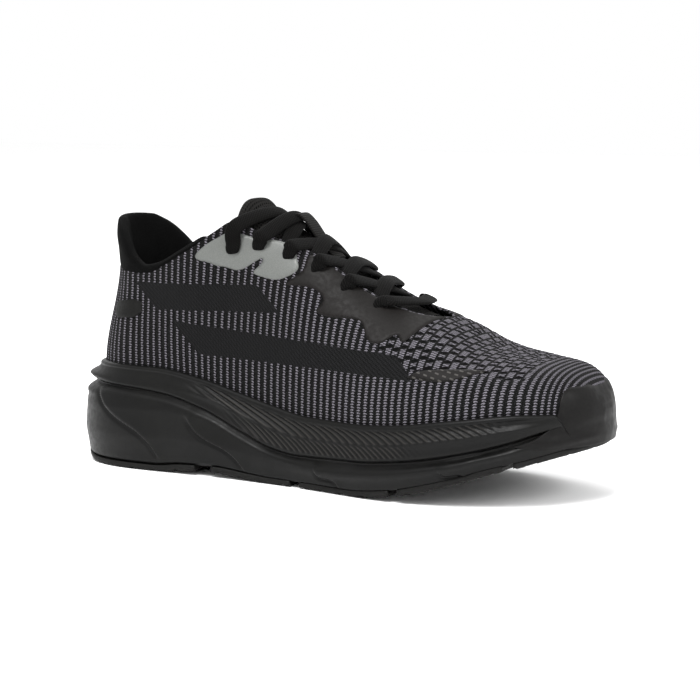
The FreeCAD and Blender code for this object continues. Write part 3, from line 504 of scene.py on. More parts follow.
def foam_material():
    """Matte moulded foam: fine grain, slightly brown black."""
    m = Nodes("midsole_foam", srgb(20, 20, 20), 0.42, 0.17)
    fine, broad = m.noise(2.2, 4.0), m.noise(0.05, 2.0)
    color = m.mix(m.ramp(broad, 0.3, 0.7), srgb(4, 4, 4), srgb(6, 6, 5))
    color = m.mix(m.ramp(fine, 0.45, 0.8, 0.0, 0.3), color, srgb(16, 15, 14))
    # painted shade and painted highlight: fin valleys are painted darker and fin crests lighter, read from
    # the fins attribute
    fins = m.attribute("fins")
    color = m.mix(m.ramp(fins, -0.05, -0.45), color, srgb(4, 4, 4))
    color = m.mix(m.ramp(fins, 0.12, 0.4), color, srgb(40, 38, 36))
    rough = m.ramp(m.noise(0.4, 3.0), 0.3, 0.7, 0.38, 0.5)
    return m.finish(color, rough, m.bump(fine, 0.06, 0.6))


def plain_material(name, low, high, rough, grain, bump, spec, sheen=0.0):
    """Fine mottled surface between two display colours."""
    m = Nodes(name, srgb(*low), rough, spec)
    m.shader.inputs["Sheen Weight"].default_value = sheen
    fine = m.noise(grain, 4.0)
    color = m.mix(m.ramp(fine, 0.3, 0.7), srgb(*low), srgb(*high))
    rough_map = m.ramp(m.noise(grain * 0.3, 2.0), 0.3, 0.7, rough - 0.06, rough + 0.06)
    return m.finish(color, rough_map, m.bump(fine, bump, 0.7))


def woven_material(name, low, high, pitch, sheen, twill=0.0):
    """Woven or knitted cloth by UV in millimetres."""
    m = Nodes(name, srgb(*low), 0.85, 0.05)
    m.shader.inputs["Sheen Weight"].default_value = sheen
    m.shader.inputs["Sheen Roughness"].default_value = 0.45
    u, v = m.surface_uv()
    shift = m.math("MULTIPLY", u, twill)
    warp = m.wave(m.math("ADD", v, shift), pitch)
    weft = m.wave(u, pitch * 1.15)
    weave = m.math("MULTIPLY", warp, m.math("ADD", m.math("MULTIPLY", weft, 0.6), 0.4))
    fuzz = m.noise(1.6, 3.0)
    color = m.mix(m.math("MULTIPLY", weave, m.ramp(fuzz, 0.2, 0.7, 0.5, 1.0)), srgb(*low), srgb(*high))
    return m.finish(color, None, m.bump(weave, 0.22, 0.8))


def mesh_fabric():
    """Black spacer mesh with small staggered perforations."""
    m = Nodes("tongue_mesh", srgb(14, 14, 14), 0.9, 0.03)
    m.shader.inputs["Sheen Weight"].default_value = 0.0
    u, v = m.surface_uv()
    pitch = 2.1
    row = m.math("FLOOR", m.math("DIVIDE", v, pitch * 0.86))
    half = m.math("FRACT", m.math("MULTIPLY", row, 0.5))
    du = m.math("SUBTRACT", m.math("FRACT", m.math("ADD", m.math("DIVIDE", u, pitch), half)), 0.5)
    dv = m.math("SUBTRACT", m.math("FRACT", m.math("DIVIDE", v, pitch * 0.86)), 0.5)
    far = m.math("SQRT", m.math("ADD", m.math("MULTIPLY", du, du), m.math("MULTIPLY", dv, dv)))
    solid = m.ramp(far, 0.2, 0.3)
    yarn = m.wave(m.math("ADD", u, v), 0.5)
    color = m.mix(solid, srgb(0, 0, 0), m.mix(yarn, srgb(14, 14, 14), srgb(40, 39, 38)))
    return m.finish(color, None, m.bump(m.math("ADD", solid, m.math("MULTIPLY", yarn, 0.2)), 0.4, 0.9))


def dashed_film():
    """Dark film with rows of small lighter dashes in its own UV (mm along, mm across)."""
    m = Nodes("dashed_film", srgb(34, 32, 31), 0.55, 0.12)
    u, v = m.surface_uv()
    line = m.math("FLOOR", m.math("DIVIDE", v, 3.0))
    along = m.math("FRACT", m.math("ADD", m.math("DIVIDE", u, 3.9), m.math("MULTIPLY", line, 0.4)))
    across = m.math("ABSOLUTE", m.math("SUBTRACT", m.math("FRACT", m.math("DIVIDE", v, 3.0)), 0.5))
    dash = m.math("MULTIPLY", m.ramp(m.math("ABSOLUTE", m.math("SUBTRACT", along, 0.5)), 0.3, 0.2),
                  m.ramp(across, 0.2, 0.1))
    color = m.mix(dash, srgb(15, 13, 12), srgb(62, 60, 58))
    grained = m.math("ADD", dash, m.math("MULTIPLY", m.noise(2.0), 0.3))
    return m.finish(color, None, m.bump(grained, 0.12, 0.7))


MATERIALS = {
    "knit": knit_material(),
    "foam": foam_material(),
    "rubber": plain_material("outsole_rubber", (9, 9, 8), (17, 16, 15), 0.6, 1.2, 0.08, spec=0.18),
    "bumper": plain_material("bumper_tpu", (8, 7, 7), (13, 12, 11), 0.46, 0.7, 0.03, spec=0.13),
    "silver": plain_material("silver_film", (84, 86, 84), (96, 98, 95), 0.42, 2.4, 0.02, spec=0.4),
    "dark_film": plain_material("dark_film", (14, 12, 11), (20, 18, 17), 0.55, 1.4, 0.015, spec=0.13),
    "dashes": dashed_film(),
    "reflective": plain_material("reflective_film", (120, 122, 124), (140, 142, 144), 0.3, 2.4, 0.03,
                                 spec=0.5),
    "label": plain_material("label_film", (8, 8, 7), (14, 14, 13), 0.6, 2.0, 0.05, spec=0.12),
    "collar": woven_material("collar_fabric", (3, 3, 3), (11, 11, 11), 0.7, sheen=0.0, twill=0.6),
    "lining": woven_material("collar_lining", (6, 6, 6), (14, 14, 14), 0.9, sheen=0.03),
    "foam_soft": plain_material("soft_foam", (40, 40, 41), (56, 56, 57), 0.9, 1.6, 0.15, spec=0.2, sheen=0.1),
    "board": woven_material("board", (70, 68, 64), (100, 98, 92), 1.2, sheen=0.0),
    "sockliner": woven_material("sockliner_cover", (12, 12, 13), (30, 30, 31), 0.9, sheen=0.1),
    "tongue": mesh_fabric(),
    "lace": woven_material("lace_fabric", (4, 4, 4), (19, 18, 17), 1.1, sheen=0.02, twill=0.55),
    "keeper": woven_material("keeper_webbing", (9, 9, 9), (34, 33, 31), 1.3, sheen=0.05),
    "aglet": plain_material("aglet_plastic", (12, 12, 12), (18, 18, 18), 0.3, 1.0, 0.02, spec=0.3),
}


def dress(piece, material):
    piece.data.materials.clear()
    piece.data.materials.append(MATERIALS[material])
    return piece


def bend_at_toe(piece):
    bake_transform(piece)


# ---------------------------------------------------------------- knitted upper
def net_distance(q, z):
    """mm inside (positive) the netting on top of the forefoot."""
    low = table((40, 73), (60, 64.6), (98, 62.6), (112, 61))(q)
    return np.minimum(np.minimum(z - low, q - 42), 117 - q)


def bar_distance(q, z, start, end, middle, half, slant):
    """mm inside a slanted-ended bar that runs along the side."""
    across = half - np.abs(z - middle)
    lean = slant * (z - middle)
    return np.minimum(across, np.minimum(q - start - lean, end - q + lean))


def band_distance(q, z):
    """mm inside the plain knitted band: two staggered bars."""
    rear = bar_distance(q, z, -96, -22, 92 + 0.03 * (q + 60), 6.8, -1.1)
    front = bar_distance(q, z, -70, 60, 67.5 - 0.05 * (q + 5), 6.4 - 0.02 * (q + 5), -1.1)
    return np.maximum(rear, front)


def knitted_upper():
    """One knitted skin over all stations: outer face with rib relief, turned edge and inner face."""
    per_rib, rows_out, rows_in = 6, 84, 12
    fine = np.linspace(-150, 145.9, 3000)
    closer = 1 + 0.8 * smooth((fine - 116) / 20)
    passed = np.concatenate([[0], np.cumsum(np.diff(fine) * closer[1:])]) / RIB
    ribs = np.arange(0, passed[-1], 1 / per_rib)
    q = np.interp(ribs, passed, fine)
    t_out = np.linspace(0, 1, rows_out)
    t_in = np.linspace(1, 0, rows_in)
    points, uv, nets, bands, faces = [], [], [], [], []
    count = 0
    rib_half = table((-40, 0.66), (50, 0.95), (118, 0.95), (134, 0.85), (146, 0.75))(q)
    for side in (LATERAL, MEDIAL):
        flat = surface(q, side, np.tile(t_out, (len(q), 1)))
        run = runs_along(flat)
        z = flat[..., 2]
        net, band = net_distance(q[:, None], z), band_distance(q[:, None], z)
        wave = 0.5 + 0.5 * np.cos(2 * np.pi * (ribs - 0.5))
        inside_net, inside_band = smooth(net / 2 + 0.5), smooth(band / 1.2 + 0.5)
        relief = 0.34 * wave[:, None] ** 1.3 * (1 - inside_band) * (1 - 0.4 * inside_net)
        phase = (run / NET_STEP + 0.5 * (np.floor(ribs) % 2)[:, None]) % 1
        hole = np.clip(1.4 - np.abs(np.abs(phase - 0.5) - HOLE_APART) * NET_STEP / (HOLE_TALL / 2), 0, 1)
        relief -= 0.8 * hole * inside_net * wave[:, None]
        near_edge = smooth((1 - t_out) / 0.02)[None]
        relief = relief * np.where(q[:, None] < THROAT_END, near_edge, 1)
        outer = surface(q, side, np.tile(t_out, (len(q), 1)), relief)
        edge_t = np.ones((len(q), 1))
        rolled = [surface(q, side, edge_t, lift) for lift in (-0.25 * KNIT, -0.75 * KNIT)]
        for ring in rolled:
            # the turned edge stands a little proud of the cut
            ring += 0.35 * unit(outer[:, -1:] - outer[:, -2:-1])
        inner = surface(q, side, np.tile(t_in, (len(q), 1)), -KNIT)
        columns = rows_out + 2 + rows_in
        block = np.concatenate([outer, *rolled, inner], 1)
        points.append(block.reshape(-1, 3))
        v = np.concatenate([run, run[:, -1:] + [[0.5, 1.2]], run[:, -1:] + KNIT
                            + np.linspace(0, 1, rows_in)[None] * run[:, -1:]], 1)
        u = np.repeat(ribs[:, None] + (0 if side == LATERAL else 200), columns, 1)
        uv.append(np.stack([u, v], -1).reshape(-1, 2))
        for store, data in ((nets, net), (bands, band)):
            store.append(np.concatenate([data, np.repeat(data[:, -1:], 2, 1),
                                         np.full((len(q), rows_in), -9.0)], 1).ravel())
        cut = int(np.searchsorted(q, THROAT_END))
        for i in range(len(q) - 1):
            for j in range(columns):
                if i >= cut and rows_out - 1 <= j < rows_out + 2:
                    continue
                a, b = (count + i * columns + k % columns for k in (j, j + 1))
                faces.append([a, b, b + columns, a + columns] if side == MEDIAL
                             else [a, a + columns, b + columns, b])
        count += len(q) * columns
    wide = np.tile(np.repeat(rib_half, rows_out + 2 + rows_in), 2)
    upper = add_mesh("knitted_upper", np.vstack(points), faces, np.vstack(uv),
                     {"net": np.concatenate(nets), "band": np.concatenate(bands), "wide": wide}, weld=0.02)
    dress(upper, "knit")
    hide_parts("upper_quarters", "upper_vamp", "upper_toebox")
    bend_at_toe(upper)


# ---------------------------------------------------------------- sole unit
def feather_points():
    """(x, y, station) round the line where upper and midsole rim meet."""
    side_q = [-150, -135, -120, -105, -85, -60, -35, -10, 15, 40, 60, 80, 100, 114, 126, 136, 142.5]

    def row(q, side):
        x, y, _ = place(q, side, WIDTH[side](q), 0.0)
        return float(x), float(y), q
    return ([row(q, LATERAL) for q in side_q] + [(146.5, 4.0, 146.5)]
            + [row(q, MEDIAL) for q in reversed(side_q[1:])])


class Ring:
    """Evenly spaced points round the feather line with their outward directions."""

    def __init__(self, count):
        rows = closed_spline(feather_points(), count)
        self.x, self.y, self.q = rows.T
        ahead, behind = np.roll(rows, -1, 0), np.roll(rows, 1, 0)
        tx, ty = (ahead - behind)[:, 0], (ahead - behind)[:, 1]
        size = np.hypot(tx, ty)
        self.nx, self.ny = ty / size, -tx / size

    def at(self, offset, z):
        """Points at an offset outside the feather line and a height."""
        return np.stack(np.broadcast_arrays(self.x + offset * self.nx, self.y + offset * self.ny, z), -1)

    def toward(self, spine, offset, z_of, fraction):
        """Points part of the way from an offset to the spine (x, y), at heights z_of(x)."""
        edge = self.at(offset, 0.0)
        px = edge[:, 0] + (spine[0] - edge[:, 0]) * fraction
        py = edge[:, 1] + (spine[1] - edge[:, 1]) * fraction
        return np.stack([px, py, z_of(px)], -1)


def side_profile(q, x, z):
    """Offset of the sole's side wall at height z."""
    v = (z - GROUND(x)) / (RIM(x) - GROUND(x))
    flare = FLARE(q)
    knots = [-0.05, 0.12, 0.34, 0.6, 0.82, 1.0]
    values = [flare - 6, flare - 1.6, flare, flare - 0.8, (flare + RIM_LIP) / 2, RIM_LIP + 0 * flare]
    result = np.array(values[0] + 0 * v)
    for i in range(5):
        t = np.clip((v - knots[i]) / (knots[i + 1] - knots[i]), 0, 1)
        result = np.where(v >= knots[i], values[i] + (values[i + 1] - values[i]) * smooth(t) * 0.45
                          + (values[i + 1] - values[i]) * t * 0.55, result)
    return result


GROOVE_Z = table((-150, 42), (-120, 42.5), (-105, 42), (-81, 40), (-56, 34), (-32, 24), (-15, 18),
                 (0, 16), (36, 17), (60, 19.5), (90, 25), (115, 32), (129, 37), (140, 40))
TOE_DROP = table((-160, 0), (131, 0), (139, 12), (160, 13))
# rear end (x, z) and front end (x, z) of the creases that cross the lower tier
CREASES = [((-121, 41), (-83, 7)), ((-66, 31), (-31, 5)), ((13, 13), (28, 2)), ((82, 20), (96, 13))]


def crease_relief(x, z):
    """Panels that overlap like scales: each crease drops from its front panel to the one behind."""
    total = 0 * z
    for (xa, za), (xb, zb) in CREASES:
        length = math.hypot(xb - xa, zb - za)
        ux, uz = (xb - xa) / length, (zb - za) / length
        along = (x - xa) * ux + (z - za) * uz
        away = -(x - xa) * uz + (z - za) * ux + 2.2 * np.sin(np.pi * np.clip(along / length, 0, 1) * 2)
        ends = smooth(along / 7 + 0.2) * smooth((length - along) / 7 + 0.2)
        ridge = np.exp(-np.abs(away) / 9.0) * smooth(away / 0.9 + 0.5)
        dip = bell(away, -0.9, 1.1)
        total = total + ends * (1.3 * ridge - 0.8 * dip)
    return total


def rib_relief(x, z, v):
    """Diagonal fins of the upper tier: a long row under the lip and a short row above the groove."""
    long_row = smooth((v - 0.48) / 0.06) * smooth((0.90 - v) / 0.08)
    short_row = smooth((v - 0.10) / 0.08) * smooth((0.50 - v) / 0.06)
    saw_long = ((x + 2.2 * z) / 5.2) % 1
    saw_short = ((x + 1.25 * z + 1.6) / 3.6) % 1
    fade_long = smooth((x + 72) / 30) * smooth((118 - x) / 22)
    fade_short = smooth((x + 50) / 30) * smooth((78 - x) / 20)

    def fin(saw):
        return 4 * saw * (1 - saw) - 0.6
    long_fins = fin(saw_long) * long_row * fade_long
    short_fins = fin(saw_short) * short_row * fade_short
    # the second value marks fin crests and valleys for the foam's painted highlight and painted shade
    return 1.4 * long_fins + 1.1 * short_fins, long_fins + short_fins


def midsole():
    """Cup midsole as one closed body: bottom, sculpted two-tier wall, rolled rim, cup wall and floor."""
    ring = Ring(800)
    x, q = ring.x, ring.q
    bottom = GROUND(x) + RUBBER - 0.1
    rim = RIM(x) - TOE_DROP(x)
    groove = np.minimum(GROOVE_Z(x), rim - 4)
    spine = np.clip(x, -108, 112), 3.0 * smooth((x + 40) / 100)
    heel_back = smooth((-112 - q) / 22)
    rings, shades = [], {}

    def under(px):
        return GROUND(px) + RUBBER - 0.1

    def over(px):
        return FOOTBED(px) - 0.05
    floor_edge = side_profile(q, x, bottom)
    for fraction in (1.0, 0.8, 0.55, 0.3, 0.12, 0.04):
        rings.append(ring.toward(spine, floor_edge - 0.7, under, fraction))
    lower_rows = 44
    for i in range(lower_rows):
        v = i / (lower_rows - 1)
        z = bottom + (groove - bottom) * v
        offset = side_profile(q, x, z) + crease_relief(x, z)
        offset = offset - 0.7 * smooth(1 - v / 0.05)
        front = smooth((x + 10) / 30) * smooth((128 - x) / 20)
        offset = offset + front * (0.9 * bell(v, 0.55, 0.16) - 1.0 * bell(v, 0.86, 0.1))
        offset = offset + heel_back * 1.6 * bell(z, 38, 2.0)
        offset = offset - 2.3 * bell(z, groove, 1.5)
        rings.append(ring.at(offset, z))
    upper_rows = 44
    for i in range(1, upper_rows):
        v = i / (upper_rows - 1)
        z = groove + (rim - groove) * v
        fins, shade = rib_relief(x, z, v)
        offset = side_profile(q, x, z) + fins
        shades[len(rings)] = shade
        facet = smooth((x + 80) / 40) * smooth((130 - x) / 15)
        offset = offset + facet * (0.8 * bell(v, 0.5, 0.1) - 1.1 * bell(v, 0.72, 0.14))
        offset = offset + heel_back * (3.2 * bell(z, 46.6, 1.9) - 0.8 * bell(z, 43.5, 1.3))
        offset = offset - 2.3 * bell(z, groove, 1.3)
        offset = offset + 0.5 * smooth((v - 0.8) / 0.1)
        offset = offset - 1.3 * (1 - np.sqrt(1 - np.clip((v - 0.88) / 0.12, 0, 1) ** 2 * 0.999))
        rings.append(ring.at(offset, z))
    outer_top = rings[-1]
    cup = ring.at(0.25, rim)
    for fraction, rise in ((0.3, 0.25), (0.7, 0.1)):
        rings.append(outer_top + (cup - outer_top) * fraction + np.array([0, 0, rise]))
    for fraction in (0.0, 0.15, 0.6, 1.0):
        rings.append(ring.at(0.25, rim - 0.6 + (over(x) - rim + 0.6) * fraction))
    for fraction in (0.15, 0.5, 0.8, 1.0):
        rings.append(ring.toward(spine, 0.25, over, fraction))
    rings = np.array(rings)
    # painted light on the fins: crests get a painted highlight and valleys painted shade, through the fins
    # attribute
    fin_painted_light = np.zeros(rings.shape[:2])
    for row, shade in shades.items():
        fin_painted_light[row] = shade
    body = add_mesh("midsole", rings.reshape(-1, 3), grid_faces(*rings.shape[:2], wrap_cols=True),
                    values={"fins": fin_painted_light.ravel()}, weld=0.05)
    dress(body, "foam")
    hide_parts("midsole_heel", "midsole_forefoot")
    bend_at_toe(body)


PODS = {
    "outsole_heel_lateral": [(-160, -60), (-62, -60), (-62, -20), (-100, -6), (-128, -6), (-160, -6)],
    "outsole_heel_medial": [(-160, 60), (-70, 60), (-70, 20), (-100, 6), (-128, 6), (-160, 6)],
    "outsole_midfoot_lateral": [(-52, -60), (-4, -60), (-4, -16), (-52, -20)],
    "outsole_ball_lateral": [(2, -60), (56, -60), (56, -3), (2, -13)],
    "outsole_ball_medial": [(-20, 60), (56, 60), (56, 3), (-20, 14)],
    "outsole_forefoot_lateral": [(61, -62), (112, -62), (112, -1), (61, -3)],
    "outsole_forefoot_medial": [(61, 62), (112, 62), (112, 5), (61, 3)],
    "outsole_toe": [(117, -60), (160, -60), (160, 60), (117, 60)],
}


def clip_polygon(subject, corners):
    """The part of a closed outline inside a convex outline."""
    area = sum(a[0] * b[1] - b[0] * a[1] for a, b in zip(corners, corners[1:] + corners[:1]))
    sign = 1 if area > 0 else -1
    result = [tuple(p) for p in subject]
    for a, b in zip(corners, corners[1:] + corners[:1]):
        def inside(p):
            return sign * ((b[0] - a[0]) * (p[1] - a[1]) - (b[1] - a[1]) * (p[0] - a[0]))
        clipped = []
        for p, r in zip(result, result[1:] + result[:1]):
            dp, dr = inside(p), inside(r)
            if dp >= 0:
                clipped.append(p)
            if dp * dr < 0:
                t = dp / (dp - dr)
                clipped.append((p[0] + (r[0] - p[0]) * t, p[1] + (r[1] - p[1]) * t))
        result = clipped
    return result


def even_outline(corners, step):
    """Points every step along a closed outline, with its corners kept."""
    result = []
    for a, b in zip(corners, corners[1:] + corners[:1]):
        count = max(1, int(round(math.dist(a, b) / step)))
        result += [(a[0] + (b[0] - a[0]) * i / count, a[1] + (b[1] - a[1]) * i / count) for i in range(count)]
    kept = []
    for p in result:
        if not kept or math.dist(p, kept[-1]) > 0.3 * step:
            kept.append(p)
    return kept


def distance_to_outline(points, outline):
    """Distances from points (N, 2) to a closed outline (M, 2) with their sign: positive inside."""
    a, b = np.asarray(outline), np.roll(np.asarray(outline), -1, 0)
    ab = b - a
    rel = points[:, None] - a[None]
    t = np.clip((rel * ab).sum(-1) / np.maximum((ab * ab).sum(-1), 1e-9), 0, 1)
    far = np.linalg.norm(rel - t[..., None] * ab, axis=-1).min(1)
    crosses = ((a[:, 1] > points[:, 1:2]) != (b[:, 1] > points[:, 1:2]))
    x_at = a[:, 0] + (points[:, 1:2] - a[:, 1]) / np.where(np.abs(ab[:, 1]) < 1e-9, 1e-9, ab[:, 1]) * ab[:, 0]
    inside = (crosses & (points[:, 0:1] < x_at)).sum(1) % 2 == 1
    return np.where(inside, far, -far)


def fill(outline, step):
    """Points and triangles that fill a closed outline, boundary points first."""
    border = np.array(even_outline([tuple(p) for p in outline], step))
    low, high = border.min(0), border.max(0)
    xs = np.arange(low[0], high[0], step)
    ys = np.arange(low[1], high[1], step * 0.866)
    lattice = np.array([(x + (0.5 * step if j % 2 else 0), y) for j, y in enumerate(ys) for x in xs])
    lattice = lattice[distance_to_outline(lattice, border) > 0.55 * step]
    both = [Vector(p) for p in np.vstack([border, lattice])]
    loop = list(range(len(border)))
    verts, _, faces, *_ = delaunay_2d_cdt(both, [], [loop], 1, 1e-6)
    return np.array([tuple(v) for v in verts]), [list(f) for f in faces]


def rim_of(faces):
    """Directed border edges of a set of faces."""
    edges = {}
    for face in faces:
        for a, b in zip(face, face[1:] + face[:1]):
            edges[(a, b)] = True
    return [(a, b) for a, b in edges if (b, a) not in edges]


def slab(name, top, bottom, faces, uv=None):
    """Closed thin body between two matching point sets."""
    count = len(top)
    walls = [[b, a, a + count, b + count] for a, b in rim_of(faces)]
    flipped = [[i + count for i in reversed(face)] for face in faces]
    both = None if uv is None else np.vstack([uv, uv])
    piece = add_mesh(name, np.vstack([top, bottom]), faces + flipped + walls, both)
    work = bmesh.new()
    work.from_mesh(piece.data)
    bmesh.ops.recalc_face_normals(work, faces=work.faces)
    work.to_mesh(piece.data)
    work.free()
    return piece


def outsole():
    """Rubber pods with chevron lugs, cut level where the shoe stands."""
    ring = Ring(400)
    edge = ring.at(FLARE(ring.q) - 1.9, 0.0)[:, :2]
    for name, corners in PODS.items():
        outline = clip_polygon(edge.tolist(), corners)
        plan, faces = fill(outline, 1.15)
        inside = np.maximum(distance_to_outline(plan, outline), 0)
        x, y = plan.T
        chevron = (x + 0.35 * np.abs(y - 3)) / 13.0 % 1
        slit = smooth(1.6 - np.abs(chevron - 0.5) * 13.0 / 0.9)
        sipe = smooth(1.3 - np.abs((np.abs(y - 3) / 15.0) % 1 - 0.5) * 15.0 / 0.8)
        depth = (1.6 * np.maximum(slit, 0.6 * sipe) * smooth(inside / 1.0 - 0.4)
                 + 0.9 * (1 - smooth(inside / 1.4)))
        grip = 0.12 * np.cos(x * 2.6) * np.cos(y * 2.6)
        base = GROUND(x)
        bottom = np.maximum(base, 0.0) + depth + np.where(depth > 0.2, grip, 0)
        piece = slab(name + "_rubber", np.stack([x, y, base + RUBBER], 1), np.stack([x, y, bottom], 1), faces)
        dress(piece, "rubber")
        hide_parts(name)
        if max(x) < BEND_START[0] / MM:
            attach(piece, "root")
        else:
            bend_at_toe(piece)


def inner_layer(name, node, low, high, inset, material):
    """A thin layer of the footbed: board, sockliner foam or its textile top."""
    ring = Ring(260)
    # the spine's points fall on shared places, so that both halves meet there
    spine_x = np.round(np.clip(ring.x, -104, 108) / 4) * 4
    spine = spine_x, 3.0 * smooth((spine_x + 40) / 100)
    bevel = min(0.4, (high - low) / 3)

    def layer(rise, fraction, drop):
        return ring.toward(spine, -inset - drop, lambda px: FOOTBED(px) + rise, fraction)
    fractions = [0.0, 0.1, 0.25, 0.45, 0.7, 1.0]
    rings = [layer(low, f, bevel) for f in reversed(fractions)]
    rings += [layer(low + bevel, 0.0, 0), layer(high - bevel, 0.0, 0)]
    rings += [layer(high, f, bevel) for f in fractions]
    rings = np.array(rings)
    flat = rings.reshape(-1, 3)
    piece = add_mesh(name, flat, grid_faces(*rings.shape[:2], wrap_cols=True), flat[:, :2], weld=0.03)
    dress(piece, material)
    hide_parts(node)
    bend_at_toe(piece)
    return piece


def sockliner_cover():
    """Textile top of the sockliner, a sheet cut to the footbed's outline."""
    piece = inner_layer("sockliner_top", "insole_cover", 5.65, 6.3, 4.3, "sockliner")


# ---------------------------------------------------------------- toe bumper
def knit_offset(ring_x, ring_y, nx, ny, z, proud):
    """Offset along each ring direction at which a point at height z stands proud of the knit."""
    q = np.arange(96, 145.9, 0.7)
    halves = []
    for side in (LATERAL, MEDIAL):
        rows = section(q, side)
        keep = rows[:, 3, 1] > z + 0.2
        t = t_at_height(q[keep], side, np.full((keep.sum(), 1), z))
        halves.append(surface(q[keep], side, t)[:, 0, :2])
    outline = np.vstack([halves[0], halves[1][::-1]])
    low, high = np.full(len(ring_x), -30.0), np.full(len(ring_x), 8.0)
    for _ in range(16):
        middle = (low + high) / 2
        points = np.stack([ring_x + middle * nx, ring_y + middle * ny], 1)
        outside = distance_to_outline(points, outline) < -proud
        low, high = np.where(outside, low, middle), np.where(outside, middle, high)
    return high


def toe_bumper():
    """Moulded cap round the tip: it lies on the knit above and sweeps back into the lower tier below."""
    ring = Ring(1000)
    turn = np.arctan2(ring.y - 4, ring.x - 90)
    pick = np.where((ring.x > 116) & (np.abs(turn) < 1.3))[0]
    order = pick[np.argsort(turn[pick])]
    x, y, nx, ny, q = ring.x[order], ring.y[order], ring.nx[order], ring.ny[order], ring.q[order]
    low = table((116, 31.2), (122, 29.5), (130, 29.0), (152, 30.0))(x)
    top = table((116, 31.6), (122, 33.5), (128, 37.6), (131.5, 41.5), (133.2, 47), (134.6, 53), (136.6, 56.6),
                (139, 57.8), (152, 57.8))(x)
    rows = 30
    levels = [low + (top - low) * i / (rows - 1) for i in range(rows)]
    heights = np.linspace(40, 58, 13)
    on_knit = np.array([knit_offset(x, y, nx, ny, h, 0.9) for h in heights])
    hold = table((33, 1), (37, 0.75), (42, 0.3), (47, 0.05), (50, 0))

    def offsets(z):
        knit = np.array([np.interp(z[k], heights, on_knit[:, k]) for k in range(len(z))])
        sole = np.maximum(side_profile(q, x, np.minimum(z, 44)), 1.4) + 0.45 * smooth((z - low) / 4.0) + 0.08
        return knit + np.maximum(sole - knit, 0) * hold(z)
    outer, inner = [], []
    for i, z in enumerate(levels):
        v = i / (rows - 1)
        roll = 1 - math.sqrt(1 - max(0.0, (v - 0.93) / 0.07) ** 2 * 0.99)
        thick = 1.6 * smooth((top - low) / 4.0)
        off = offsets(z)
        outer.append(np.stack([x + (off - 0.8 * roll) * nx, y + (off - 0.8 * roll) * ny, z], -1))
        inner.append(np.stack([x + (off - thick - 0.3) * nx, y + (off - thick - 0.3) * ny, z - 0.3], -1))
    block = np.array(outer + inner[::-1])
    n, m = block.shape[:2]
    faces = grid_faces(n, m, wrap_rows=True)
    for column, flip in ((0, True), (m - 1, False)):
        for i in range(rows - 1):
            a, b, c, d = (k * m + column for k in (i, i + 1, n - 2 - i, n - 1 - i))
            faces.append([a, b, c, d] if flip else [d, c, b, a])
    piece = add_mesh("toe_cap", block.reshape(-1, 3), faces, weld=0.01)
    dress(piece, "bumper")
    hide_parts("toe_bumper")
    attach(piece, "forefoot")


# ---------------------------------------------------------------- collar
TAB_Z = table((-150, 131), (-132, 130.2), (-124, 127.5), (-118, 124), (-112, 118.6), (-105, 111), (-98, 107),
              (-90, 108.6), (-76, 115.6), (-64, 122.6), (-57, 127))
TAB_N = table((-150, 26.4), (-132, 26.8), (-118, 29.4), (-105, 32.6), (-96, 33.6), (-76, 34.5),
              (-64, 33), (-57, 31))
RIM_DEPTH = table((-150, 7), (-120, 7.4), (-96, 8), (-64, 7.2), (-57, 5))


def heel_stations(front, count):
    """Station and side from the lateral front round the heel to the medial front."""
    s = np.linspace(-1, 1, count)
    q = -150 + (front + 150) * np.abs(s)
    return q, np.where(s <= 0, LATERAL, MEDIAL)


def swell(piece, steps, pressure, cap):
    """Cloth simulation under air pressure, with each point's move capped (mm), then applied."""
    mesh = piece.data
    rest = np.array([v.co for v in mesh.vertices])
    bpy.context.view_layer.objects.active = piece
    cloth = piece.modifiers.new("Cloth", "CLOTH")
    settings = cloth.settings
    settings.quality = 4
    settings.mass = 0.2
    settings.tension_stiffness = settings.compression_stiffness = 12
    settings.bending_stiffness = 1.0
    settings.use_pressure = True
    settings.uniform_pressure_force = pressure
    settings.effector_weights.gravity = 0
    cloth.point_cache.frame_start, cloth.point_cache.frame_end = 1, steps
    for number in range(1, steps + 1):
        bpy.context.scene.frame_set(number)
    evaluated = piece.evaluated_get(bpy.context.evaluated_depsgraph_get())
    moved = np.array([v.co for v in evaluated.data.vertices])
    piece.modifiers.remove(cloth)
    bpy.context.scene.frame_set(1)
    shift = moved - rest
    size = np.linalg.norm(shift, axis=1, keepdims=True)
    shift *= np.minimum(1, cap * MM / np.maximum(size, 1e-9))
    mesh.vertices.foreach_set("co", (rest + shift).ravel())
    mesh.update()


def subdivide(piece):
    """Apply one level of subdivision."""
    bpy.context.view_layer.objects.active = piece
    modifier = piece.modifiers.new("Subdivision", "SUBSURF")
    modifier.levels = modifier.render_levels = 1
    evaluated = piece.evaluated_get(bpy.context.evaluated_depsgraph_get())
    fine = bpy.data.meshes.new_from_object(evaluated)
    piece.modifiers.remove(modifier)
    fine.name = piece.data.name
    piece.data = fine
    fine.polygons.foreach_set("use_smooth", [True] * len(fine.polygons))


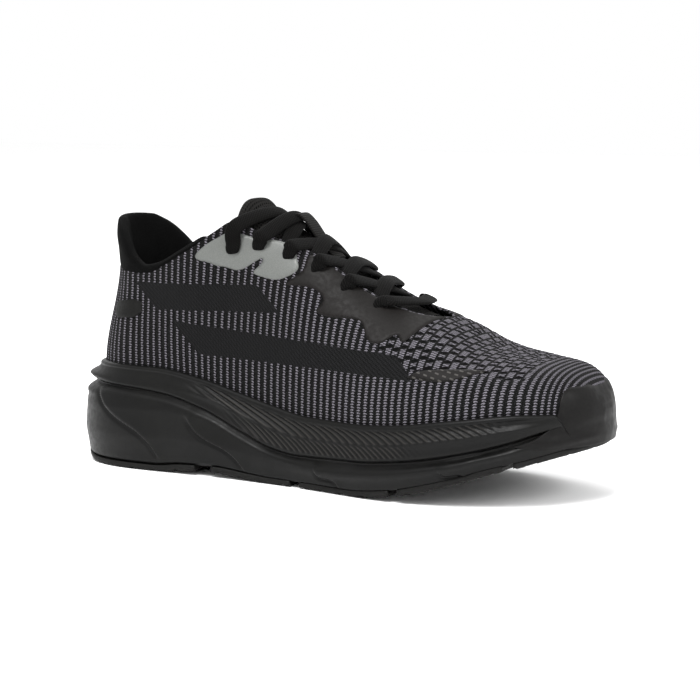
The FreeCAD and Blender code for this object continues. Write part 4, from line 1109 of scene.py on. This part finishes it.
def padded_collar():
    """Foam-filled edge of the ankle opening, low at the sides and standing up as a heel tab."""
    q, side = heel_stations(-57.0, 133)
    rings, uv = [], []
    lengths = 0.0
    last = None
    for station, hand in zip(q, side):
        low_n, low_z = float(COLLAR_N(station)), float(COLLAR_Z(station))
        top_n, top_z, deep = float(TAB_N(station)), float(TAB_Z(station)), float(RIM_DEPTH(station))
        rise = top_z - low_z
        # section (n, z), from below the knit's edge over the top and down the inside
        outline = [(low_n - 1.9, low_z - 7), (low_n - 0.4, low_z - 1.5), (low_n + 0.3, low_z + 0.6),
                   (low_n + 0.25 * (top_n - low_n) + 0.5, low_z + 0.4 * rise),
                   (top_n - 0.1, top_z - 0.26 * rise - 1),
                   (top_n - 0.14 * deep, top_z - 0.5), (top_n - 0.42 * deep, top_z + 0.1),
                   (top_n - 0.75 * deep, top_z - 0.9), (top_n - 0.98 * deep, top_z - 0.3 * rise - 1.5),
                   (low_n - deep + 0.2, low_z + 0.15 * rise), (low_n - deep - 0.4, low_z - 7),
                   (low_n - deep + 1.0, low_z - 14), (low_n - 3.6, low_z - 15)]
        ring2, _ = smooth_path([(n, z, 0) for n, z in outline + outline[:1]], 45)
        ring2 = ring2[:-1]
        # the ends taper down to the edge of the knit
        taper = float(smooth((-55.5 - station) / 9))
        anchor = np.array([low_n - 1.2, low_z - 1.5, 0])
        ring2 = anchor + (ring2 - anchor) * (0.22 + 0.78 * taper)
        ring = place(station, hand, ring2[:, 0], ring2[:, 1])
        if last is not None:
            lengths += float(np.linalg.norm(ring[10] - last[10]))
        last = ring
        rings.append(ring)
        uv.append(np.stack([np.full(len(ring), lengths), run_along(ring2)], 1))
    piece = tube("padded_collar", rings, uv=np.vstack(uv))
    swell(piece, 20, 4.0, 0.8)
    subdivide(piece)
    dress(piece, "collar")
    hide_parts("heel_tab", "collar_rim_lateral", "collar_rim_medial", "collar_foam")
    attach(piece, "root")


def ankle_lining():
    """Textile lining from the padded edge down inside the heel to the footbed."""
    q, side = heel_stations(-52.0, 121)
    outer, inner, uv = [], [], []
    for station, hand in zip(q, side):
        t0 = t_at_height([station], hand, np.array([[50.0]]))[0, 0]
        ts = np.linspace(t0, 0.93, 22)[None]
        depth = 4.0 + 3.4 * np.clip((ts - 0.15) / 0.5, 0, 1)
        outer.append(surface([station], hand, ts, -depth)[0])
        inner.append(surface([station], hand, ts, -depth - 1.0)[0])
        run = np.linspace(0, 60, 22)
        uv.append(np.stack([np.full(22, (station + 150) * hand), run], 1))
    outer, inner, uv = np.array(outer), np.array(inner), np.array(uv)
    n, m = outer.shape[:2]
    faces = grid_faces(n, m)
    piece = slab("ankle_lining", outer.reshape(-1, 3), inner.reshape(-1, 3), faces, uv.reshape(-1, 2))
    dress(piece, "lining")
    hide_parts("collar_lining")
    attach(piece, "root")


# ---------------------------------------------------------------- tongue
UNDER_FLAP = KNIT + 3.3  # tongue's face below the knit's, at the flap


def tongue_outline(q, drop):
    """Points across the tongue at a station, lowered by drop."""
    centre = np.array([q, float(RIDGE_Y(q)), float(TONGUE_Z(q)) - drop])
    halves = []
    for side in (LATERAL, MEDIAL):
        edge_n = section([q], side)[0, 3, 0]
        half = float(TONGUE_HALF(q))
        tip = min(half, edge_n)
        edge = knit_point(q, side, 1.0, -(UNDER_FLAP + drop))
        edge = np.array([q, edge[1] * tip / edge_n, edge[2]])
        flat = bezier(section([q], side)[:, None], np.linspace(0.45, 1, 120)[None])[0]
        reach = max(half, edge_n + 0.5)
        t = np.interp(-reach, -flat[:, 0], np.linspace(0.45, 1, 120))
        under = knit_point(q, side, t, -(UNDER_FLAP + drop))
        sink = 0.3 - 0.14 * float(smooth((-40 - q) / 8))
        shoulder = centre + (edge - centre) * np.array([0, 0.55, sink])
        halves.append([under, edge, shoulder])
    return halves[0] + [centre] + halves[1][::-1]


def tongue_piece(name, start, end, count):
    """Padded slab between two stations, with rounded sides."""
    rings, uv = [], []
    run = 0.0
    for q in np.linspace(start, end, count):
        top, _ = smooth_path(tongue_outline(q, 0.4), 34)
        low, _ = smooth_path(tongue_outline(q, TONGUE - 0.4), 34)
        middle = (top + low) / 2
        thin = 1.0
        if end < SPLIT_X:
            thin = 0.12 + 0.88 * math.sqrt(max(0.0, min(1.0, (q - end) / 7.0)))
        top, low = middle + (top - middle) * thin, middle + (low - middle) * thin
        out = [[0, 0.9, 0]]
        ring = np.vstack([top, (top[-1] + low[-1]) / 2 + out, low[::-1], (top[0] + low[0]) / 2 - out])
        rings.append(ring)
        uv.append(np.stack([run_along(ring), np.full(len(ring), run)], 1))
        run += abs(start - end) / (count - 1) * 1.2
    return tube(name, rings, uv=np.vstack(uv))


def tongue():
    """Padded tongue in two pieces: a front part and a free end."""
    front = tongue_piece("tongue_pad", 54.0, -2.0, 40)
    tip = tongue_piece("tongue_tip", -2.0, -54.0, 48)
    for piece in (front, tip):
        swell(piece, 20, 4.0, 0.7)
        subdivide(piece)
        dress(piece, "tongue")
    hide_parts("tongue_base")
    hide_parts("tongue_end")
    bend_at_toe(front)
    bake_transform(tip)


# ---------------------------------------------------------------- films
FILM_EDGE, FILM_TOP, LABEL_TOP, FILM_LOW = 0.28, 0.62, 0.6, -0.1


def on_knit(name, plan, faces, side, ts, lifts):
    """Thin slab over the knit, at the stations in plan, with parameters ts and lifts of its top face."""
    top = np.array([knit_point(q, side, t, lift) for q, t, lift in zip(plan[:, 0], ts, lifts)])
    low = np.array([knit_point(q, side, t, FILM_LOW) for q, t in zip(plan[:, 0], ts)])
    return slab(name, top, low, faces, plan)


def film(name, nodes, outline, side, material, step=1.3):
    """Film welded on the knit. outline: (station, distance from the flap edge or ridge)."""
    shape = closed_spline(outline, 260).tolist()
    plan, faces = fill([tuple(p) for p in shape], step)
    q, inset = plan.T
    ts = np.array([t_from_edge([a], side, np.array([[b]]))[0, 0] for a, b in zip(q, inset)])
    edge = distance_to_outline(plan, shape)
    lifts = FILM_EDGE + (FILM_TOP - FILM_EDGE) * smooth(edge / 0.8 + 0.15)
    piece = on_knit(name, plan, faces, side, ts, lifts)
    dress(piece, material)
    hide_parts(*nodes)
    if max(q) > BEND_START[0] / MM:
        bend_at_toe(piece)
    else:
        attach(piece, "root")


SILVER = [(-65, 6), (-58, 14), (-51, 21), (-43, 24), (-37, 20.5), (-31.5, 15), (-28, 12.6),
          (-28.5, 15.5), (-32, 21), (-26, 21.6), (-18, 20.4), (-11, 15.6), (-8, 11), (-10, 6),
          (-13, 1.6), (-25, 1.4), (-38, 4.4), (-50, 5), (-59, 4)]
DARK = [(-13, 21.5), (-8, 15), (-5, 9), (-4, 2.2), (14, 1.6), (34, 1.6), (52, 1.6), (60.5, 2.4),
        (60, 12), (58, 22), (54, 28), (49.5, 22.5), (45, 26.5), (38, 29), (33.5, 24.5), (29, 19.6),
        (18, 24), (6, 27), (8.5, 20), (0, 18)]
FOREFOOT = [(63, 59), (69, 54), (98, 41.5), (92, 48), (78, 56.5)]


def films():
    for label, side in SIDES.items():
        film("silver_eyestay_" + label, ["eyestay_upper_" + label], SILVER, side, "silver")
        film("dark_eyestay_" + label, ["eyestay_lower_" + label], DARK, side, "dark_film")
        film("forefoot_dashes_" + label, ["forefoot_film_" + label], FOREFOOT, side, "dashes",
             step=1.0)


LABEL = [(-121, 80), (-117, 77.6), (-104, 79), (-98, 82.5), (-98.5, 87), (-104, 88.6), (-117, 86.6),
         (-121, 84)]


def heel_label():
    """Blank woven label on the lateral side, with its corners given by (station, height)."""
    plan, faces = fill(even_outline(LABEL, 1.5), 1.2)
    q, z = plan.T
    ts = [t_at_height([a], LATERAL, np.array([[b]]))[0, 0] for a, b in zip(q, z)]
    piece = on_knit("heel_label_film", plan, faces, LATERAL, ts, [LABEL_TOP] * len(plan))
    dress(piece, "label")
    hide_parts("heel_label")
    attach(piece, "root")


def heel_strip():
    """Reflective strip with rounded ends, upright on the heel's centre line."""
    rows = []
    middle, half_tall, half_wide = 88.5, 10, 8.4
    for z in np.linspace(middle - half_tall, middle + half_tall, 25):
        round_end = (1 - min(1.0, abs(z - middle) / half_tall) ** 5) ** 0.2
        q, side = heel_stations(-149.9 + half_wide * round_end, 13)
        ts = [t_at_height([a], b, np.array([[z]]))[0, 0] for a, b in zip(q, side)]
        rows.append([knit_point(a, b, t, 0.55) for a, b, t in zip(q, side, ts)])
    top = np.array(rows)
    low = top + np.array([0.6, 0, 0])
    piece = slab("heel_strip", top.reshape(-1, 3), low.reshape(-1, 3), grid_faces(*top.shape[:2]),
                 np.stack([top[..., 1].ravel(), top[..., 2].ravel()], 1))
    dress(piece, "reflective")
    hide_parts("heel_reflector")
    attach(piece, "root")


# ---------------------------------------------------------------- laces
def rounded_bar(across_power, thick_power):
    """Outline of a flat bar's section, from -1 to 1 both ways; lower powers are squarer."""
    angle = np.linspace(0, 2 * np.pi, 20, endpoint=False)
    c, s = np.cos(angle), np.sin(angle)
    return np.sign(c) * np.abs(c) ** across_power, np.sign(s) * np.abs(s) ** thick_power


def strand(points, normals, widths, samples=60):
    """Rings and UVs of a flat woven lace through points, with its face along the normals."""
    rows = np.hstack([np.asarray(part, float) for part in (points, normals, np.reshape(widths, (-1, 1)))])
    path, run = smooth_path(rows, samples)
    centre, up, wide = path[:, :3], path[:, 3:6], path[:, 6]
    along = unit(np.gradient(centre, axis=0))
    across = unit(np.cross(along, up))
    face = np.cross(across, along)
    ex, ey = rounded_bar(0.75, 0.8)
    rings = (centre[:, None] + across[:, None] * (wide[:, None, None] / 2 * ex[None, :, None])
             + face[:, None] * (LACE_T / 2 * ey[None, :, None]))
    u = ex[None] * wide[:, None] / 2
    return rings, np.stack([u, np.repeat(run[:, None], len(ex), 1)], -1)


def join_strands(name, strands):
    """One object from capped tubes, each given as rings and UVs."""
    points, uv, faces, count = [], [], [], 0
    for rings, marks in strands:
        n, m = rings.shape[:2]
        points.append(rings.reshape(-1, 3))
        uv.append(marks.reshape(-1, 2))
        faces += grid_faces(n, m, first=count, wrap_cols=True)
        faces += [[count + i for i in range(m)][::-1], [count + (n - 1) * m + i for i in range(m)]]
        count += n * m
    return add_mesh(name, np.vstack(points), faces, np.vstack(uv))


UP = np.array([0.0, 0.0, 1.0])


def flap_normal(q, side, inset):
    """Outward normal of a lace flap, leaning forward with the slope of the instep."""
    ahead, behind = spot(q + 1, side, inset), spot(q - 1, side, inset)
    lower, upper = spot(q, side, inset + 1), spot(q, side, inset - 1)
    return unit(np.cross(ahead - behind, upper - lower) * -side)


def instep_normal(q):
    """Normal of the instep at its middle line."""
    rise = float(TONGUE_Z(q + 2) - TONGUE_Z(q - 2)) / 4
    return unit(np.array([-rise, -0.12, 1.0]))


def throat_middle(q, lift):
    """Point over the middle of the tongue, on the line between the two flap edges."""
    edge = (section([q], LATERAL)[0, 3, 1] + section([q], MEDIAL)[0, 3, 1]) / 2
    return np.array([q, float(RIDGE_Y(q)), max(edge, float(TONGUE_Z(q)) + 1.6) + lift])


def crossing_strand(row, side, lift, ahead=0.0):
    """From a lace hole over the tongue and under the opposite flap, towards the hole before it."""
    q, q_far = HOLE_Q[row], HOLE_Q[row - 1]
    inset, far_inset = HOLE_IN[row], HOLE_IN[row - 1]
    middle = (q + q_far) / 2 + ahead
    points = [spot(q - 0.5, side, inset + 1.2, -1.5), spot(q, side, inset - 0.4, 1.4),
              spot(q + 1.0, side, inset - 3, 2.4), spot(q + 2.6, side, 1.0, 2.8), throat_middle(middle, lift),
              spot(q_far - 4.6, -side, 0.0, -0.6) + np.array([0, side * 4.0, 0]),
              spot(q_far - 3.4, -side, far_inset * 0.55, -KNIT - LACE_T / 2 - 0.6)]
    near, far = flap_normal(q, side, 3), flap_normal(q_far - 4, -side, 3)
    top = instep_normal(middle)
    normals = [near, near, near, near + top, top, far + top, far]
    return strand(points, normals, [5, 6.8, 7.8, LACE_W, LACE_W, 7.6, 6])


def first_bar():
    """Lowest strand, straight over the top from hole to hole."""
    q, inset = HOLE_Q[0], HOLE_IN[0]
    left, right = flap_normal(q, LATERAL, 3), flap_normal(q, MEDIAL, 3)
    top = instep_normal(q + 8)
    half = []
    for side in (LATERAL, MEDIAL):
        half.append([spot(q - 0.5, side, inset + 1.2, -1.5), spot(q, side, inset - 0.4, 1.4),
                     spot(q + 2, side, inset - 3, 2.4), spot(q + 6, side, 0.5, 2.8)])
    middle = np.array([q + 11, float(RIDGE_Y(q + 11)), float(TONGUE_Z(q + 11)) + 4.8])
    points = half[0] + [middle] + half[1][::-1]
    normals = [left, left, left, left + top, top, right + top, right, right, right]
    return strand(points, normals, [5, 6.8, 7.8, 8, 8, 8, 7.8, 6.8, 5], 80)


def tail(side):
    """Loose end tucked in along the underside of the tongue."""
    xs = [-30, -16, -4, 8]
    points = [np.array([x, side * 10 + float(RIDGE_Y(x)), float(TONGUE_Z(x)) - TONGUE - 4.5]) for x in xs]
    return strand(points, [UP] * 4, [LACE_W, LACE_W, LACE_W, 4])


# hole row, lift over the tongue, and how far ahead the strand crosses (mm)
LATERAL_ROWS = [(1, 1.4, 0.0), (2, 1.4, 0.0), (3, 1.6, 0.0), (4, 5.2, 0.0), (5, 0.8, 4.5)]
MEDIAL_ROWS = [(1, 4.4), (2, 4.4), (3, 4.6), (4, 1.8)]


def laces():
    """All the strands in one woven lace, its tucked-in ends, and the loop over it."""
    strands = [first_bar()]
    strands += [crossing_strand(row, LATERAL, lift, ahead) for row, lift, ahead in LATERAL_ROWS]
    strands += [crossing_strand(row, MEDIAL, lift) for row, lift in MEDIAL_ROWS]
    piece = join_strands("woven_lace", strands)
    dress(piece, "lace")
    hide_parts("lace")
    bend_at_toe(piece)
    ends = join_strands("lace_ends", [tail(LATERAL), tail(MEDIAL)])
    dress(ends, "lace")
    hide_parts("lace_tails")
    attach(ends, "root")
    keeper()


def keeper():
    """Grosgrain loop on the tongue that the lace passes under."""
    rows = [(-27.0, 1.0), (-25, 4.8), (-21.5, 8.6), (-16.5, 7.6), (-11, 4.0), (-6, 2.2), (0.0, 1.0)]
    points = [(x, float(RIDGE_Y(x)), float(TONGUE_Z(x)) + lift) for x, lift in rows]
    path, run = smooth_path(points, 70)
    across = np.array([0.0, 1.0, 0.0])
    face = np.cross(unit(np.gradient(path, axis=0)), across)
    ex, ey = rounded_bar(0.4, 0.6)
    half_wide, half_thick = 5.5, 0.7
    rings = (path[:, None] + across[None, None] * (half_wide * ex)[None, :, None]
             + face[:, None] * (half_thick * ey)[None, :, None])
    uv = np.stack([np.repeat((half_wide * ex)[None], len(path), 0), np.repeat(run[:, None], len(ex), 1)], -1)
    piece = join_strands("webbing_keeper", [(rings, uv)])
    dress(piece, "keeper")
    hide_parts("tongue_keeper")
    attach(piece, "root")


# ---------------------------------------------------------------- carried-over frame nodes
def carried_nodes():
    for node, material in (("heel_counter", "board"), ("toe_puff", "board"), ("aglets", "aglet")):
        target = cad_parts[node]
        target.data.materials.clear()
        target.data.materials.append(MATERIALS[material])


# ---------------------------------------------------------------- studio
def studio():
    floor_material = Nodes("studio_floor", srgb(252, 252, 252), 0.9, 0.1)
    bpy.ops.mesh.primitive_plane_add(size=8)
    floor = bpy.context.object
    floor.name = "studio_floor"
    floor.data.materials.append(floor_material.material)
    world = bpy.data.worlds.new("studio")
    bpy.context.scene.world = world
    world.use_nodes = True
    world.node_tree.nodes["Background"].inputs[0].default_value = (1, 1, 1, 1)
    world.node_tree.nodes["Background"].inputs[1].default_value = 1.0
    # name, position (metres), size (metres) and power (watts)
    lamps = [("key", (0.1, -0.9, 1.6), 0.7, 34),
             ("fill", (1.5, -0.2, 1.1), 0.8, 14),
             ("back", (-0.9, 0.9, 1.3), 0.8, 12)]
    for name, where, size, power in lamps:
        light = bpy.data.lights.new(name, "AREA")
        light.size = size
        light.energy = power
        lamp = bpy.data.objects.new(name, light)
        lamp.location = where
        lamp.rotation_euler = (Vector((0, 0, 0.06)) - Vector(where)).to_track_quat("-Z", "Y").to_euler()
        bpy.context.scene.collection.objects.link(lamp)


def colours():
    """White stays white: display the render without a film curve."""
    bpy.context.scene.view_settings.view_transform = "Standard"


def camera():
    """Three-quarter view: 29 degrees round from the lateral side towards the toe, 8 degrees up."""
    azimuth, elevation, distance = math.radians(29), math.radians(8), 1.03
    target = Vector((0, 0, 0.0618))
    away = Vector((math.sin(azimuth) * math.cos(elevation), -math.cos(azimuth) * math.cos(elevation),
                   math.sin(elevation)))
    data = bpy.data.cameras.new("main_view")
    data.lens = 102.75
    data.sensor_width = 36
    data.shift_x, data.shift_y = 0.0164, 0.0077
    data.clip_start = 0.01
    view = bpy.data.objects.new("main_view", data)
    view.location = target + away * distance
    view.rotation_euler = (-away).to_track_quat("-Z", "Y").to_euler()
    bpy.context.scene.collection.objects.link(view)
    bpy.context.scene.camera = view


camera()
colours()
studio()
knitted_upper()
midsole()
outsole()
inner_layer("strobel", "strobel_board", 0.05, 1.2, 2.1, "board")
inner_layer("sockliner_foam", "insole", 1.25, 5.6, 4.3, "foam_soft")
sockliner_cover()
toe_bumper()
padded_collar()
ankle_lining()
tongue()
films()
heel_label()
heel_strip()
laces()
carried_nodes()
